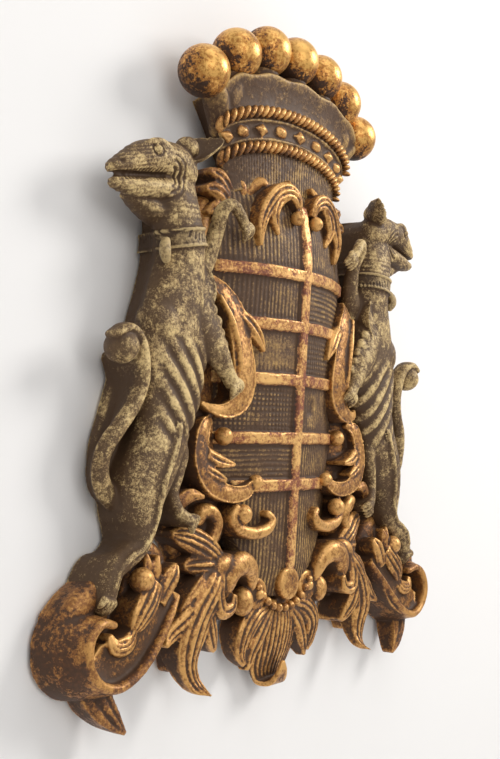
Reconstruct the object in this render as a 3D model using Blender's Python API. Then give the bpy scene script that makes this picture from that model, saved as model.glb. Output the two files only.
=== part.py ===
"""Carved armorial shield: a gilt and painted high relief in wood, made to hang on a wall.

The shield, its coronet, the scrolls and the two hounds are carved as one piece with a flat back.
The front faces -Y, the flat back lies in the plane Y = 0, and the origin is the hanging point
on that back. Forms are drawn on the right-hand half and mirrored, as the carver did.

Each form is a short table of stations along its middle line. A station gives, in millimetres
of the drawing, the distance from the middle line of the shield, the height above the lowest
leaf tip, the distance from the back, and the half width and half depth of the section there. Two
more columns, where a form has them, tell how far its side walls spread at the back.
"""
import bmesh
import bpy
import numpy as np
from mathutils import Matrix

# Overall sizes of the carving, in metres.
HEIGHT = 0.668
WIDTH = 0.640
DEPTH = 0.074
HANGING_HEIGHT = 0.520

# Sizes of the turned and repeated details, in metres.
BALL_DIAMETER = 0.050
NECK_DIAMETER = 0.034
ROPE_DIAMETER = 0.0112
STUD_WIDTH = 0.020
BAR_WIDTH = 0.0116
BAR_RISE = 0.004
BOSS_DIAMETER = 0.033
BOSS_RISE = 0.009
PEARL_DISC_DIAMETER = 0.032
BEAD_DIAMETER = 0.0094
COLLAR_WIDTH = 0.017
COLLAR_RISE = 0.0018
LEAF_GROOVE = 0.0030

# Fineness of the carved solid.
VOXEL = 0.0017
TRIANGLES = 8800

# The drawing that the tables below are measured on, in millimetres.
DRAWN_HEIGHT = 668.0
DRAWN_WIDTH = 640.0
DRAWN_DEPTH = 74.0
BEHIND_WALL = -5.0
CROWN_SPREAD = np.radians(80.0)
CROWN_SIDE = 0.28

GOLD = (0.50, 0.29, 0.08, 1.0)


def mm(length):
    """A size in metres, in millimetres of the drawing."""
    return length * DRAWN_HEIGHT / HEIGHT


def line_length(rows):
    """Length of a table's middle line."""
    return float(np.linalg.norm(np.diff(np.array(rows, dtype=float)[:, :3], axis=0), axis=1).sum())


def smooth_rows(rows, count):
    """Stations read from a smooth curve through the rows of a table."""
    rows = np.array(rows, dtype=float)
    gaps = np.linalg.norm(np.diff(rows[:, :3], axis=0), axis=1) ** 0.5
    knots = np.concatenate([[0.0], np.cumsum(gaps)])
    slopes = np.gradient(rows, knots, axis=0)
    places = np.linspace(0.0, knots[-1], count)
    index = np.clip(np.searchsorted(knots, places, side="right") - 1, 0, len(knots) - 2)
    span = (knots[index + 1] - knots[index])[:, None]
    u = (places - knots[index])[:, None] / span
    start = (2 * u**3 - 3 * u**2 + 1) * rows[index] + (u**3 - 2 * u**2 + u) * span * slopes[index]
    end = (3 * u**2 - 2 * u**3) * rows[index + 1] + (u**3 - u**2) * span * slopes[index + 1]
    return start + end


def sections(centre, carried, roll=0.0):
    """Tangent, side and front directions at each station of a middle line, turned by a roll in degrees."""
    tangent = np.gradient(centre, axis=0)
    tangent /= np.linalg.norm(tangent, axis=1)[:, None]
    front = np.zeros_like(tangent)
    forward = np.array([0.0, 0.0, 1.0])
    for i, along in enumerate(tangent):
        start = front[i - 1] if carried and i else forward
        across = start - along * (start @ along)
        front[i] = across / max(np.linalg.norm(across), 1e-6)
    side = np.cross(front, tangent)
    cosine, sine = np.cos(np.radians(roll)), np.sin(np.radians(roll))
    return tangent, side * cosine - front * sine, front * cosine + side * sine


def skin(rings):
    """Closed shell over a stack of rings with the same number of points."""
    stations, around, _ = rings.shape
    points = rings.reshape(-1, 3)
    faces = []
    for i in range(stations - 1):
        for j in range(around):
            k = (j + 1) % around
            faces.append((i * around + j, i * around + k, (i + 1) * around + k, (i + 1) * around + j))
    faces.append(tuple(range(around))[::-1])
    faces.append(tuple((stations - 1) * around + j for j in range(around)))
    return points, faces


def rounded_ends(path):
    """Stations with a domed cap added at both ends of a limb."""
    tangent, _, _ = sections(path[:, :3], False)
    head, tail = [], []
    for step in np.radians([75.0, 50.0, 25.0]):
        for store, end, sign in ((head, 0, -1.0), (tail, -1, 1.0)):
            row = path[end].copy()
            reach = min(row[3], row[4])
            row[:3] = row[:3] + sign * tangent[end] * reach * np.sin(step)
            row[3:5] = row[3:5] * np.cos(step)
            store.append(row)
    return np.array(head + list(path) + tail[::-1])


def limb(rows, wall=False, square=1.0, ends=True):
    """Rounded form along a middle line, with side walls down to the back where wall is set.

    A square below 1 gives a boxier section. The last two columns of longer rows spread the side
    walls at the back, first on the left of the way, then on its right.
    """
    path = smooth_rows(rows, max(8, int(line_length(rows) / 3.5)))
    if ends:
        path = rounded_ends(path)
    _, side, front = sections(path[:, :3], False)
    half = np.linspace(0.0, np.pi, 15)
    rings = []
    for row, s, f in zip(path, side, front):
        across = np.sign(np.cos(half)) * np.abs(np.cos(half)) ** square * row[3]
        out = np.sin(half) ** square * row[4]
        top = row[:3] + across[:, None] * s + out[:, None] * f
        if wall:
            left, right = (row[5], row[6]) if len(row) > 5 else (0.0, 0.0)
            outer, inner = top[-1] - s * left, top[0] + s * right
            feet = np.array([outer, (outer + inner) / 2, inner])
            feet[:, 2] = BEHIND_WALL
            flanks = [(top[-1] + feet[0]) / 2 - s * left * 0.2, (top[0] + feet[2]) / 2 + s * right * 0.2]
            ring = np.vstack([top, flanks[0], feet, flanks[1]])
        else:
            under = row[:3] + across[-2:0:-1, None] * s - out[-2:0:-1, None] * f
            ring = np.vstack([top, under])
        rings.append(ring)
    return skin(np.array(rings))


def leaf(rows, ridges=3, groove=None, crown=0.35, wall=True, carried=False, lift=0.0, rim=0.0, roll=0.0):
    """Carved leaf: lengthwise ridges and grooves over a crowned section that tapers to its tip.

    A lift brings the underside of the tip forwards, off the back plane, a crown below 0 hollows the
    leaf, and a rim raises its edges.
    """
    depth = mm(LEAF_GROOVE) if groove is None else groove
    count = max(10, int(line_length(rows) / 3.0))
    across = 6 * ridges + 7
    path = smooth_rows(rows, count)
    _, side, front = sections(path[:, :3], carried, roll)
    share = np.linspace(-1.0, 1.0, across)
    wave = 0.5 - 0.5 * np.cos(np.pi * ridges * (share + 1.0))
    rings = []
    for i, (row, s, f) in enumerate(zip(path, side, front)):
        width = max(row[3], 0.6)
        away = lift * np.clip((i / (count - 1) - 0.35) / 0.65, 0.0, 1.0) ** 1.5
        rise = crown * width * (1.0 - share**2)
        fade = min(1.0, 0.15 + 3.5 * i / (count - 1))
        cut = fade * min(depth, width * 0.4) * (1.0 - wave) * (np.abs(share) < 0.97)
        edge = min(rim, width * 0.3) * np.exp(-(((1.0 - np.abs(share)) / 0.15) ** 2))
        top = row[:3] + (share * width)[:, None] * s + (rise - cut + edge)[:, None] * f
        if wall:
            low = np.array([top[-1], (top[0] + top[-1]) / 2, top[0]])
            middle = (low[0] + low[2]) / 2
            low = middle + (low - middle) * 0.82
            low[:, 2] = BEHIND_WALL + away
        else:
            sag = np.minimum(rise[::-1], 0.0)
            low = row[:3] + (share[::-1] * width * 0.88)[:, None] * s
            low += (sag - max(row[4], 1.5))[:, None] * f
        rings.append(np.vstack([top, low]))
    return skin(np.array(rings))


def ball(x, z, d, radius, squash=(1.0, 1.0, 1.0)):
    """Ball or bud, as a short stack of rings."""
    turns = np.linspace(0.0, 2 * np.pi, 20, endpoint=False)
    rings = []
    for rise in np.linspace(-np.pi / 2 + 0.12, np.pi / 2 - 0.12, 11):
        ring = np.stack([
            x + radius * squash[0] * np.cos(rise) * np.cos(turns),
            z + radius * squash[1] * np.sin(rise) + 0 * turns,
            d + radius * squash[2] * np.cos(rise) * np.sin(turns)], axis=1)
        rings.append(ring)
    return skin(np.array(rings))


def disc(x, z, d, radius, rise):
    """Flat round boss with a softened rim, standing on the carving behind it."""
    turns = np.linspace(0.0, 2 * np.pi, 24, endpoint=False)
    rings = []
    profile = ((1.0, BEHIND_WALL), (1.0, d), (1.02, d + rise * 0.5), (0.98, d + rise * 0.8),
               (0.88, d + rise * 0.97), (0.7, d + rise), (0.3, d + rise))
    for share, depth in profile:
        ring = [x + radius * share * np.cos(turns), z + radius * share * np.sin(turns), depth + 0 * turns]
        rings.append(np.stack(ring, axis=1))
    return skin(np.array(rings))


def stud(x, z, d, wide, high, rise, point):
    """Peaked stud: an oval where point is below 1, four-pointed above."""
    turns = np.linspace(0.0, 2 * np.pi, 16, endpoint=False)
    across = np.sign(np.cos(turns)) * np.abs(np.cos(turns)) ** point
    along = np.sign(np.sin(turns)) * np.abs(np.sin(turns)) ** point
    rings = []
    profile = ((1.0, -3.0), (1.0, rise * 0.3), (0.86, rise * 0.55), (0.45, rise * 0.85), (0.15, rise))
    for share, level in profile:
        ring = [x + wide * share * across, z + high * share * along, d + level + 0 * turns]
        rings.append(np.stack(ring, axis=1))
    return skin(np.array(rings))


def crown_place(turn, level):
    """Point on the coronet: turn runs from -1 to 1 across its front and on along its sides to the wall.

    The level runs from 0 at the foot to 1 at the lip.
    """
    angle = CROWN_SPREAD * np.clip(turn, -1.0, 1.0)
    reach = 97.0 + 31.0 * level**1.6
    arch = 21.0 + 17.0 * level
    x = reach * np.sin(angle) / np.sin(CROWN_SPREAD)
    z = 504.0 + 107.0 * level - arch * (1.0 - np.cos(angle))
    d = 50.0 + 12.0 * level**2 - (28.0 - 10.0 * level**2) * (1.0 - np.cos(angle))
    past = np.clip((np.abs(turn) - 1.0) / CROWN_SIDE, 0.0, 1.0)
    inward = (0.14 + 0.36 * (1.0 - level)) * past
    return x * (1.0 - inward), z - 3.0 * past, d * (1.0 - past)


def ball_place(number):
    """Centre of one of the coronet's balls, numbered from -3 to 3 across it."""
    away = abs(number)
    x = np.copysign(50.6 * away - 1.5 * away**2, number) if number else 0.0
    return x, 644.0 + 2.6 * away - 6.0 * away**2, 47.6 - 1.2 * away**2


def coronet():
    """Flared coronet with two twisted ropes, a studded band and seven balls on short necks."""
    end = 1.0 + CROWN_SIDE
    profile = ((0.0, 0.0), (0.30, 0.0), (0.36, 1.2), (0.42, 1.2), (0.465, 1.7), (0.49, -1.0), (0.61, -1.0),
               (0.635, 1.7), (0.68, 1.2), (0.74, 1.2), (0.78, 0.0), (0.85, -2.2), (0.92, -1.6), (1.0, 0.0))
    rings = []
    for turn in np.linspace(-end, end, 91):
        scoop = np.sin(3.0 * np.pi * turn) ** 2 if abs(turn) < 1.0 else 0.0
        aside = np.sign(turn) * np.clip((abs(turn) - 0.8) / 0.3, 0.0, 1.0)
        ring = []
        for level, proud in profile:
            x, z, d = crown_place(turn, level)
            high = max(level - 0.8, 0.0) / 0.2
            out = max(d + proud * (1.0 - abs(aside)), BEHIND_WALL)
            ring.append((x + proud * aside, z + high**1.5 * (6.0 - 3.0 * scoop), out))
        lip = ring[-1]
        ring.append((lip[0] * 0.97, lip[1] + 1.0, lip[2] * 0.92))
        ring.append((np.clip(lip[0] * 0.84, -79.0, 79.0), lip[1] - 8.0, BEHIND_WALL))
        ring.append((np.clip(ring[0][0] * 0.94, -47.0, 47.0), ring[0][1], BEHIND_WALL))
        rings.append(ring)
    shells = [skin(np.array(rings)), rope(0.39), rope(0.71)]
    wide = mm(STUD_WIDTH) / 2
    for number in range(-4, 5):
        x, z, d = crown_place(number / 4.7, 0.55)
        if number % 2:
            shells.append(stud(x, z, d - 1.5, wide * 0.85, wide * 0.56, 5.5, 0.8))
        else:
            shells.append(stud(x, z, d - 1.5, wide * 1.05, wide * 0.7, 5.5, 2.0))
    radius = mm(BALL_DIAMETER) / 2
    neck = mm(NECK_DIAMETER) / 2
    for number in range(-3, 4):
        x, z, d = ball_place(number)
        inward = 0.88 if abs(number) == 3 else 0.98
        foot = crown_place(number / 3.0, 0.93)
        shells.append(ball(x, z, d, radius))
        wide = neck * (0.72 if abs(number) == 3 else 1.0)
        shells.append(limb([(foot[0] * inward * 0.95, foot[1] - 22.0, d - 9.0, wide * 0.76, neck * 0.53),
                            (foot[0] * inward, foot[1] - 4.0, d - 6.0, wide, neck * 0.76),
                            (x * inward, z - radius * 0.62, d - 1.0, wide * 0.82, neck * 0.76)]))
    return shells


def rope(level):
    """Rope moulding laid across the coronet and along its sides."""
    end = 1.0 + CROWN_SIDE * 0.9
    line = np.array([crown_place(turn, level) for turn in np.linspace(-end, end, 90)])
    line[:, 2] += 1.6
    along = np.gradient(line, axis=0)
    along /= np.linalg.norm(along, axis=1)[:, None]
    radius = mm(ROPE_DIAMETER) / 2
    angles = np.linspace(0.0, 2 * np.pi, 10, endpoint=False)
    rings = []
    for place, way in zip(line, along):
        up = np.array([0.0, 1.0, 0.0]) - way * way[1]
        up /= np.linalg.norm(up)
        out = np.cross(up, way)
        rings.append(place + radius * (np.cos(angles)[:, None] * up + np.sin(angles)[:, None] * out))
    return skin(np.array(rings))


def shield_edge(z):
    """Half width of the shield at a height, a tall cartouche that narrows downwards."""
    heights = [96.0, 130.0, 170.0, 220.0, 300.0, 380.0, 430.0, 470.0, 500.0, 512.0]
    halves = [22.0, 58.0, 88.0, 106.0, 114.0, 118.0, 116.0, 106.0, 90.0, 70.0]
    return np.interp(z, heights, halves)


def shield_front(x, z):
    """Distance of the shield's domed face from the back."""
    heights = [96.0, 126.0, 430.0, 455.0, 480.0, 500.0, 512.0]
    depths = [31.0, 37.8, 61.0, 60.0, 56.0, 51.0, 48.0]
    return np.interp(z, heights, depths) - 0.0024 * x**2


def shield():
    """Domed shield with a vertical bar and five cross bars."""
    heights = np.linspace(96.0, 512.0, 60)
    share = np.linspace(-1.0, 1.0, 41)
    rings = []
    for z in heights:
        x = share * shield_edge(z)
        ring = np.stack([x, z + 0 * x, np.maximum(shield_front(x, z), 12.0)], axis=1)
        back = np.array([(x[-1], z, BEHIND_WALL), (0.0, z, BEHIND_WALL), (x[0], z, BEHIND_WALL)])
        rings.append(np.vstack([ring, back]))
    shells = [skin(np.array(rings))]
    half = mm(BAR_WIDTH) / 2
    rise = mm(BAR_RISE)
    shells.append(bar([(0.0, z) for z in np.linspace(488.0, 124.0, 24)], half, rise))
    for z, reach in ((418.0, 112.0), (366.0, 100.0), (312.0, 100.0), (254.0, 100.0), (207.0, 84.0)):
        shells.append(bar([(x, z) for x in np.linspace(-reach, reach, 30)], half, rise))
    return shells


def bar(places, half, rise):
    """Flat bar laid on the shield's face along a line of places."""
    points = np.array(places)
    along = np.gradient(points, axis=0)
    along /= np.linalg.norm(along, axis=1)[:, None]
    across = np.stack([-along[:, 1], along[:, 0]], axis=1)
    low = rise * 0.7
    section = ((-1.0, -4.0), (-1.0, low), (-0.85, rise), (0.85, rise), (1.0, low), (1.0, -4.0))
    rings = []
    for point, side in zip(points, across):
        ring = []
        for share, lift in section:
            x, z = point + side * half * share
            ring.append((x, z, shield_front(x, z) + lift))
        rings.append(ring)
    return skin(np.array(rings))


def top_leaves():
    """Acanthus that rolls outwards over the head of the shield."""
    return [
        ball(17.0, 475.0, 62.0, 7.5),
        leaf([(13, 482, 62, 4, 5), (18, 494, 64, 7, 5), (31, 500, 64, 8.5, 5), (48, 495, 62, 9, 5),
              (62, 480, 59, 8.5, 5), (70, 462, 57, 6.5, 4), (68, 441, 54, 2, 4)], ridges=3),
        leaf([(32, 497, 63, 5, 5), (45, 489, 61, 7, 5), (52, 474, 60, 6.5, 4), (43, 455, 57, 2, 4)],
             ridges=2),
        limb([(92, 474, 14, 9, 8), (92, 494, 22, 10, 8), (83, 507, 28, 8, 7), (76, 500, 34, 5, 6),
              (78, 484, 34, 3, 4)], wall=True),
        limb([(70, 474, 30, 8, 7), (66, 497, 36, 8, 7), (55, 506, 44, 6, 6), (48, 496, 46, 3, 4)],
             wall=True),
        leaf([(84, 488, 30, 8, 5), (104, 503, 33, 9, 5), (119, 509, 30, 3, 4)], ridges=2),
        leaf([(88, 480, 30, 8, 5), (110, 490, 33, 9, 5), (126, 490, 30, 3, 4)], ridges=2),
        leaf([(86, 470, 28, 8, 5), (108, 474, 31, 8, 5), (122, 467, 28, 2, 4)], ridges=2),
        leaf([(30, 500, 60, 5, 5), (24, 508, 58, 4, 5), (20, 514, 55, 1.5, 4)], ridges=1),
    ]


def side_scrolls():
    """Sickle leaf, comma scroll and ribbon at each side."""
    return [
        leaf([(122, 404, 33, 5, 5), (114, 393, 40, 9, 5), (102, 374, 45, 14, 6), (96, 356, 46, 15.5, 6),
              (92, 338, 47, 16, 6), (88, 318, 47, 17.5, 6), (88, 299, 46, 16, 6), (97, 285, 45, 11, 6),
              (113, 279, 43, 7, 5), (130, 281, 40, 4, 4), (139, 286, 36, 2, 4)],
             ridges=1, crown=0.16, groove=0.0, rim=2.2),
        limb([(121, 386, 43, 2, 3), (110, 364, 48, 3.2, 4), (102, 338, 50, 3.4, 4),
              (99, 318, 50, 2.2, 3)], wall=True),
        leaf([(90, 372, 46, 6, 5), (79, 364, 49, 8, 5), (68, 352, 51, 7, 5), (58, 338, 51, 1.5, 4)],
             ridges=2),
        leaf([(122, 271, 34, 4, 5), (135, 264, 37, 8, 6), (142, 247, 38, 10, 6),
              (141, 229, 39, 11.5, 6), (131, 212, 41, 11, 6), (115, 203, 43, 9, 5), (97, 200, 44, 8, 5),
              (80, 202, 44, 7, 5), (67, 209, 43, 5, 5)],
             ridges=1, crown=0.22, groove=0.0, rim=2.0),
        ball(64.0, 211.0, 43.0, 7.5),
        ball(102.0, 255.0, 33.0, 9.0),
        leaf([(135, 238, 40, 7, 5), (118, 231, 44, 6, 5), (100, 228, 46, 2, 4)], ridges=2),
        leaf([(137, 224, 41, 6, 5), (122, 217, 44, 5, 5), (112, 214, 45, 2, 4)], ridges=2),
        limb([(92, 187, 41, 4.5, 4), (97, 178, 40, 5, 5), (91, 168, 41, 5.5, 5), (77, 163, 43, 6, 5),
              (60, 162, 44, 6, 5), (45, 166, 45, 5.5, 5), (39, 174, 45, 4.5, 4), (45, 180, 44, 3.5, 3)],
             wall=True),
        ball(85.0, 181.0, 43.0, 9.5),
        limb([(128, 350, 14, 26, 14), (126, 300, 14, 26, 14), (124, 250, 14, 24, 14),
              (118, 200, 14, 22, 14), (110, 160, 14, 24, 14)], wall=True),
        leaf([(172, 186, 30, 6, 5), (164, 196, 35, 7, 5), (153, 201, 38, 6, 5), (139, 199, 40, 2, 4)],
             ridges=1),
        limb([(134, 178, 28, 6, 6), (131, 186, 33, 7, 6), (121, 183, 35, 6.5, 6), (115, 173, 35, 6, 6),
              (121, 157, 32, 6, 6)], wall=True),
        limb([(146, 196, 8, 20, 10), (140, 170, 8, 22, 10), (132, 150, 8, 20, 10)], wall=True),
    ]


def volute_leaf():
    """Rolled volute below the shield, with lobes that fan out and hang to a hooked tip."""
    return [
        limb([(102, 101, 32, 7, 6), (104, 116, 38, 10, 7), (96, 130, 40, 11.5, 8),
              (80, 134, 40, 11.5, 8), (66, 127, 38, 10, 7), (59, 114, 34, 7, 6), (58, 107, 30, 5, 5)],
             wall=True),
        ball(67.0, 96.0, 29.0, 12.5, (0.9, 1.15, 0.9)),
        limb([(90, 133, 34, 8, 7), (101, 136, 36, 9.5, 8), (112, 134, 37, 10, 8), (121, 125, 36, 8, 6),
              (128, 114, 35, 4, 4)], wall=True),
        leaf([(106, 136, 34, 9, 5), (126, 150, 36, 12, 5), (146, 161, 30, 12, 5), (160, 165, 26, 8, 4),
              (166, 166, 23, 3, 4)], ridges=4),
        leaf([(106, 134, 34, 9, 5), (130, 137, 36, 10, 5), (146, 137, 29, 8, 4), (153, 136, 27, 3, 4)],
             ridges=3),
        leaf([(108, 136, 36, 10, 5), (126, 114, 42, 13, 6), (143, 92, 40, 16, 6), (152, 68, 36, 17, 6),
              (151, 48, 32, 12.5, 6), (147, 33, 34, 9, 6), (144, 25, 42, 6, 5), (143, 22, 52, 1.5, 4)],
             ridges=4, lift=38.0),
        leaf([(114, 131, 35, 9, 5), (142, 113, 38, 10, 5), (164, 96, 33, 3, 4)], ridges=2),
        leaf([(130, 110, 40, 10, 5), (157, 91, 38, 10, 5), (178, 77, 33, 7, 4), (187, 70, 36, 2, 4)],
             ridges=3),
        leaf([(136, 98, 40, 10, 5), (128, 77, 39, 10, 5), (119, 63, 35, 7, 4), (113, 56, 32, 3, 4)],
             ridges=3),
        leaf([(116, 128, 42, 6, 5), (121, 108, 44, 8, 5), (117, 94, 45, 8, 5), (103, 95, 45, 6, 5),
              (98, 107, 45, 3, 4)], ridges=2),
        limb([(112, 120, 8, 30, 10), (140, 96, 8, 26, 10), (150, 66, 8, 14, 8), (152, 46, 8, 7, 6)],
             wall=True),
        limb([(84, 118, 6, 26, 12), (84, 90, 6, 22, 12)], wall=True),
    ]


def palmette():
    """Fan of lobes below the boss, whose middle one curls forwards, with discs and a swag of beads."""
    shells = [
        leaf([(0, 92, 26, 22, 5), (0, 68, 25, 34, 6), (0, 44, 20, 36, 6), (0, 22, 13, 30, 6),
              (0, 11, 13, 22, 5), (0, 10, 21, 15, 5), (0, 19, 28, 9, 4), (0, 30, 30, 2.5, 3)],
             ridges=11, groove=2.4, crown=0.2, wall=False, carried=True),
        limb([(0, 92, 8, 44, 12), (0, 62, 6, 36, 12), (0, 36, 4, 24, 9), (0, 20, 3, 10, 6)], wall=True),
        disc(0.0, 108.0, 32.5, mm(BOSS_DIAMETER) / 2, mm(BOSS_RISE)),
    ]
    half = [
        leaf([(20, 87, 27, 8, 5), (44, 80, 30, 12, 5), (60, 64, 29, 12, 5), (62, 46, 25, 9, 5),
              (55, 33, 24, 4, 4)], ridges=4, groove=2.4, lift=14.0),
        leaf([(16, 82, 28, 7, 5), (34, 62, 29, 9, 5), (46, 42, 26, 7, 5), (51, 27, 25, 1.5, 4)],
             ridges=2, lift=14.0),
        disc(45.0, 101.0, 25.0, mm(PEARL_DISC_DIAMETER) / 2, 8.0),
        ball(45.0, 101.0, 33.0, 5.5),
    ]
    for number in range(-5, 6):
        angle = np.radians(11.2) * number
        shells.append(ball(54.8 * np.sin(angle), 137.8 - 54.8 * np.cos(angle), 33.0, mm(BEAD_DIAMETER) / 2))
    return shells + mirrored(half)


def outer_scroll():
    """Deep outer scroll that a hound stands on, with its husks and hanging leaf."""
    return [
        limb([(174, 112, 34, 3.4, 5, 2, 0), (190, 94, 39, 3.6, 5, 3, 0), (212, 71, 42, 3.8, 5, 4, 0),
              (233, 55, 43, 4, 5, 6, 0), (258, 47, 43, 4.2, 5, 8, 0), (279, 54, 42, 4.4, 5, 14, 0),
              (291, 73, 42, 4.4, 5, 19, 0), (287, 92, 41, 4.4, 5, 18, 0), (274, 101, 40, 4, 5, 8, 0),
              (258, 98, 38, 3.5, 4, 0, 0)], wall=True),
        limb([(200, 108, 8, 20, 6), (225, 88, 8, 30, 6), (258, 80, 8, 32, 6)], wall=True),
        leaf([(182, 122, 35, 9, 5), (200, 102, 38, 15, 6), (221, 78, 40, 18, 6), (243, 65, 40, 17, 6),
              (262, 65, 38, 14, 5), (274, 77, 35, 10, 5)], ridges=1, crown=-0.16, groove=0.0, rim=1.6),
        leaf([(228, 92, 37, 5, 5), (242, 80, 40, 8, 5), (256, 80, 40, 7, 5), (262, 90, 38, 3, 4)],
             ridges=4, groove=2.0),
        leaf([(264, 52, 20, 19, 6), (258, 34, 25, 15, 6), (246, 17, 29, 9, 6), (233, 4, 30, 2, 4)],
             ridges=3, lift=16.0),
        limb([(292, 100, 12, 12, 12, 4, 0), (281, 112, 16, 14, 13, 0, 0), (266, 122, 20, 13, 10, 0, 0)],
             wall=True),
        ball(221.0, 131.0, 36.0, 11.0),
        leaf([(198, 110, 36, 9, 5), (189, 124, 39, 10, 6), (182, 133, 40, 9, 6), (176, 141, 38, 3, 4)],
             ridges=2),
        leaf([(206, 122, 34, 5, 5), (203, 138, 38, 7, 5), (200, 151, 37, 1.5, 4)], ridges=1),
        leaf([(212, 130, 34, 4, 5), (211, 143, 36, 5, 5), (212, 153, 34, 1.5, 4)], ridges=1),
        leaf([(204, 127, 38, 11, 6), (215, 114, 41, 13, 6), (225, 103, 42, 12, 6), (232, 92, 40, 7, 5),
              (235, 86, 37, 2, 4)], ridges=4),
        limb([(190, 150, 16, 22, 10), (205, 130, 18, 20, 8), (212, 108, 16, 18, 8)], wall=True),
    ]


def hound_trunk():
    """Neck, body and outer hind leg in one sweep down to the foot."""
    rows = [(179, 488, 29, 23, 22, 0, -19), (181, 466, 30, 27, 25, 0, -24),
            (177, 448, 31, 26, 26, 0, -20), (172, 430, 31, 24, 27, 0, -12),
            (172, 405, 30, 29, 26, 0, -13), (174, 380, 30, 36, 25, 0, -14),
            (176, 352, 30, 43, 24, 0, -13), (179, 318, 30, 42, 24, 0, -12),
            (181, 292, 30, 37, 23, 0, -10), (187, 270, 29, 33, 22, 0, -8),
            (195, 250, 29, 30, 22, 0, -6), (206, 228, 28, 29, 22, 0, -2), (213, 212, 27, 28, 21, 0, 2),
            (217, 193, 26, 23, 20, 0, 0), (218, 174, 26, 17, 18, 0, 0), (223, 160, 26, 13, 16, 2, -1),
            (237, 150, 26, 11, 15, 2, -4), (252, 141, 26, 11, 15, 0, 2), (258, 128, 26, 11, 14, 0, 6),
            (260, 115, 25, 11, 13, 0, 10)]
    return [limb(rows, wall=True, square=0.92),
            ball(198.0, 352.0, 33.0, 21.0, (1.0, 1.25, 1.0))]


def hound_head():
    """Skull, snout, jaw, throat, eye, brow and ear."""
    return [
        limb([(176, 492, 37, 20, 18), (190, 498, 40, 17.5, 18), (206, 498, 41, 16.5, 17),
              (222, 496.5, 41.5, 15.5, 16), (236, 492.5, 41, 13.5, 13.5), (246, 487.5, 40, 11.5, 11.5),
              (256, 483, 39, 9, 10), (263, 480, 38, 6.5, 8)]),
        limb([(182, 474, 35, 14, 15), (204, 472, 40, 11, 14), (224, 469, 41, 9.6, 12.5),
              (242, 467, 40, 8.2, 10.5), (255, 466.5, 39, 6.4, 8.5), (261, 467, 38, 5.5, 7)]),
        limb([(200, 480, 34, 7, 10), (226, 478, 35, 6, 9), (250, 474, 34, 5, 7)]),
        limb([(240, 461, 33, 4, 8), (224, 458, 31, 8, 12), (208, 454, 30, 10, 15),
              (194, 450, 29, 10, 16)]),
        ball(225.0, 500.0, 55.5, 4.2),
        limb([(203, 503, 54, 2, 2), (214, 508, 54.5, 3, 2.5), (228, 507.5, 53, 3, 2.5),
              (240, 501, 49, 2.4, 2)]),
        ball(171.0, 515.0, 43.0, 11.5, (1.0, 0.95, 1.0)),
        leaf([(176, 508, 42, 10, 5), (168, 514, 50, 15, 5), (160, 519, 57, 13.5, 4),
              (152, 523, 62.5, 8, 3.5), (145.5, 527, 66, 1.5, 3)],
             crown=-0.42, ridges=1, groove=0.0, rim=1.0, wall=False, roll=-58.0),
    ]


def hound_collar():
    """Belt round the neck with a hanging loop."""
    half = mm(COLLAR_WIDTH) / 2
    rise = mm(COLLAR_RISE)
    rows = []
    for step in (half, -half):
        rows.append((173.5 + 0.18 * step, 432 + step, 31, 24.5 + rise, 27 + rise, 0, -11.5 - 0.25 * step))
    loop = [(203, 425, 46, 4, 4), (206, 420, 47.5, 5.2, 5), (206, 414, 47.5, 5.2, 5),
            (203, 409, 46, 4, 4)]
    return [limb(rows, wall=True, ends=False, square=0.92), limb(loop)]


def paw(x, z, d, along, width, length):
    """Four toes that end in claws, set out from a wrist along a direction."""
    way = np.array(along, dtype=float) / np.linalg.norm(along)
    side = np.cross(way, np.array([0.0, 0.0, 1.0]))
    side /= max(np.linalg.norm(side), 1e-6)
    shells = []
    for place in (-1.0, -0.35, 0.35, 1.0):
        start = np.array([x, z, d]) + side * place * width * 0.6
        mid = start + way * length * 0.45 + side * place * width * 0.5 + np.array([0.0, 0.0, 1.8])
        tip = start + way * length * 0.85 + side * place * width * 0.7 - np.array([0.0, 0.0, 1.2])
        claw = tip + way * length * 0.25 - np.array([0.0, 0.0, 2.5])
        shells.append(limb([(*start, 3.0, 3.2), (*mid, 3.1, 3.6), (*tip, 2.3, 2.6), (*claw, 0.8, 1.0)]))
    return shells


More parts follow.
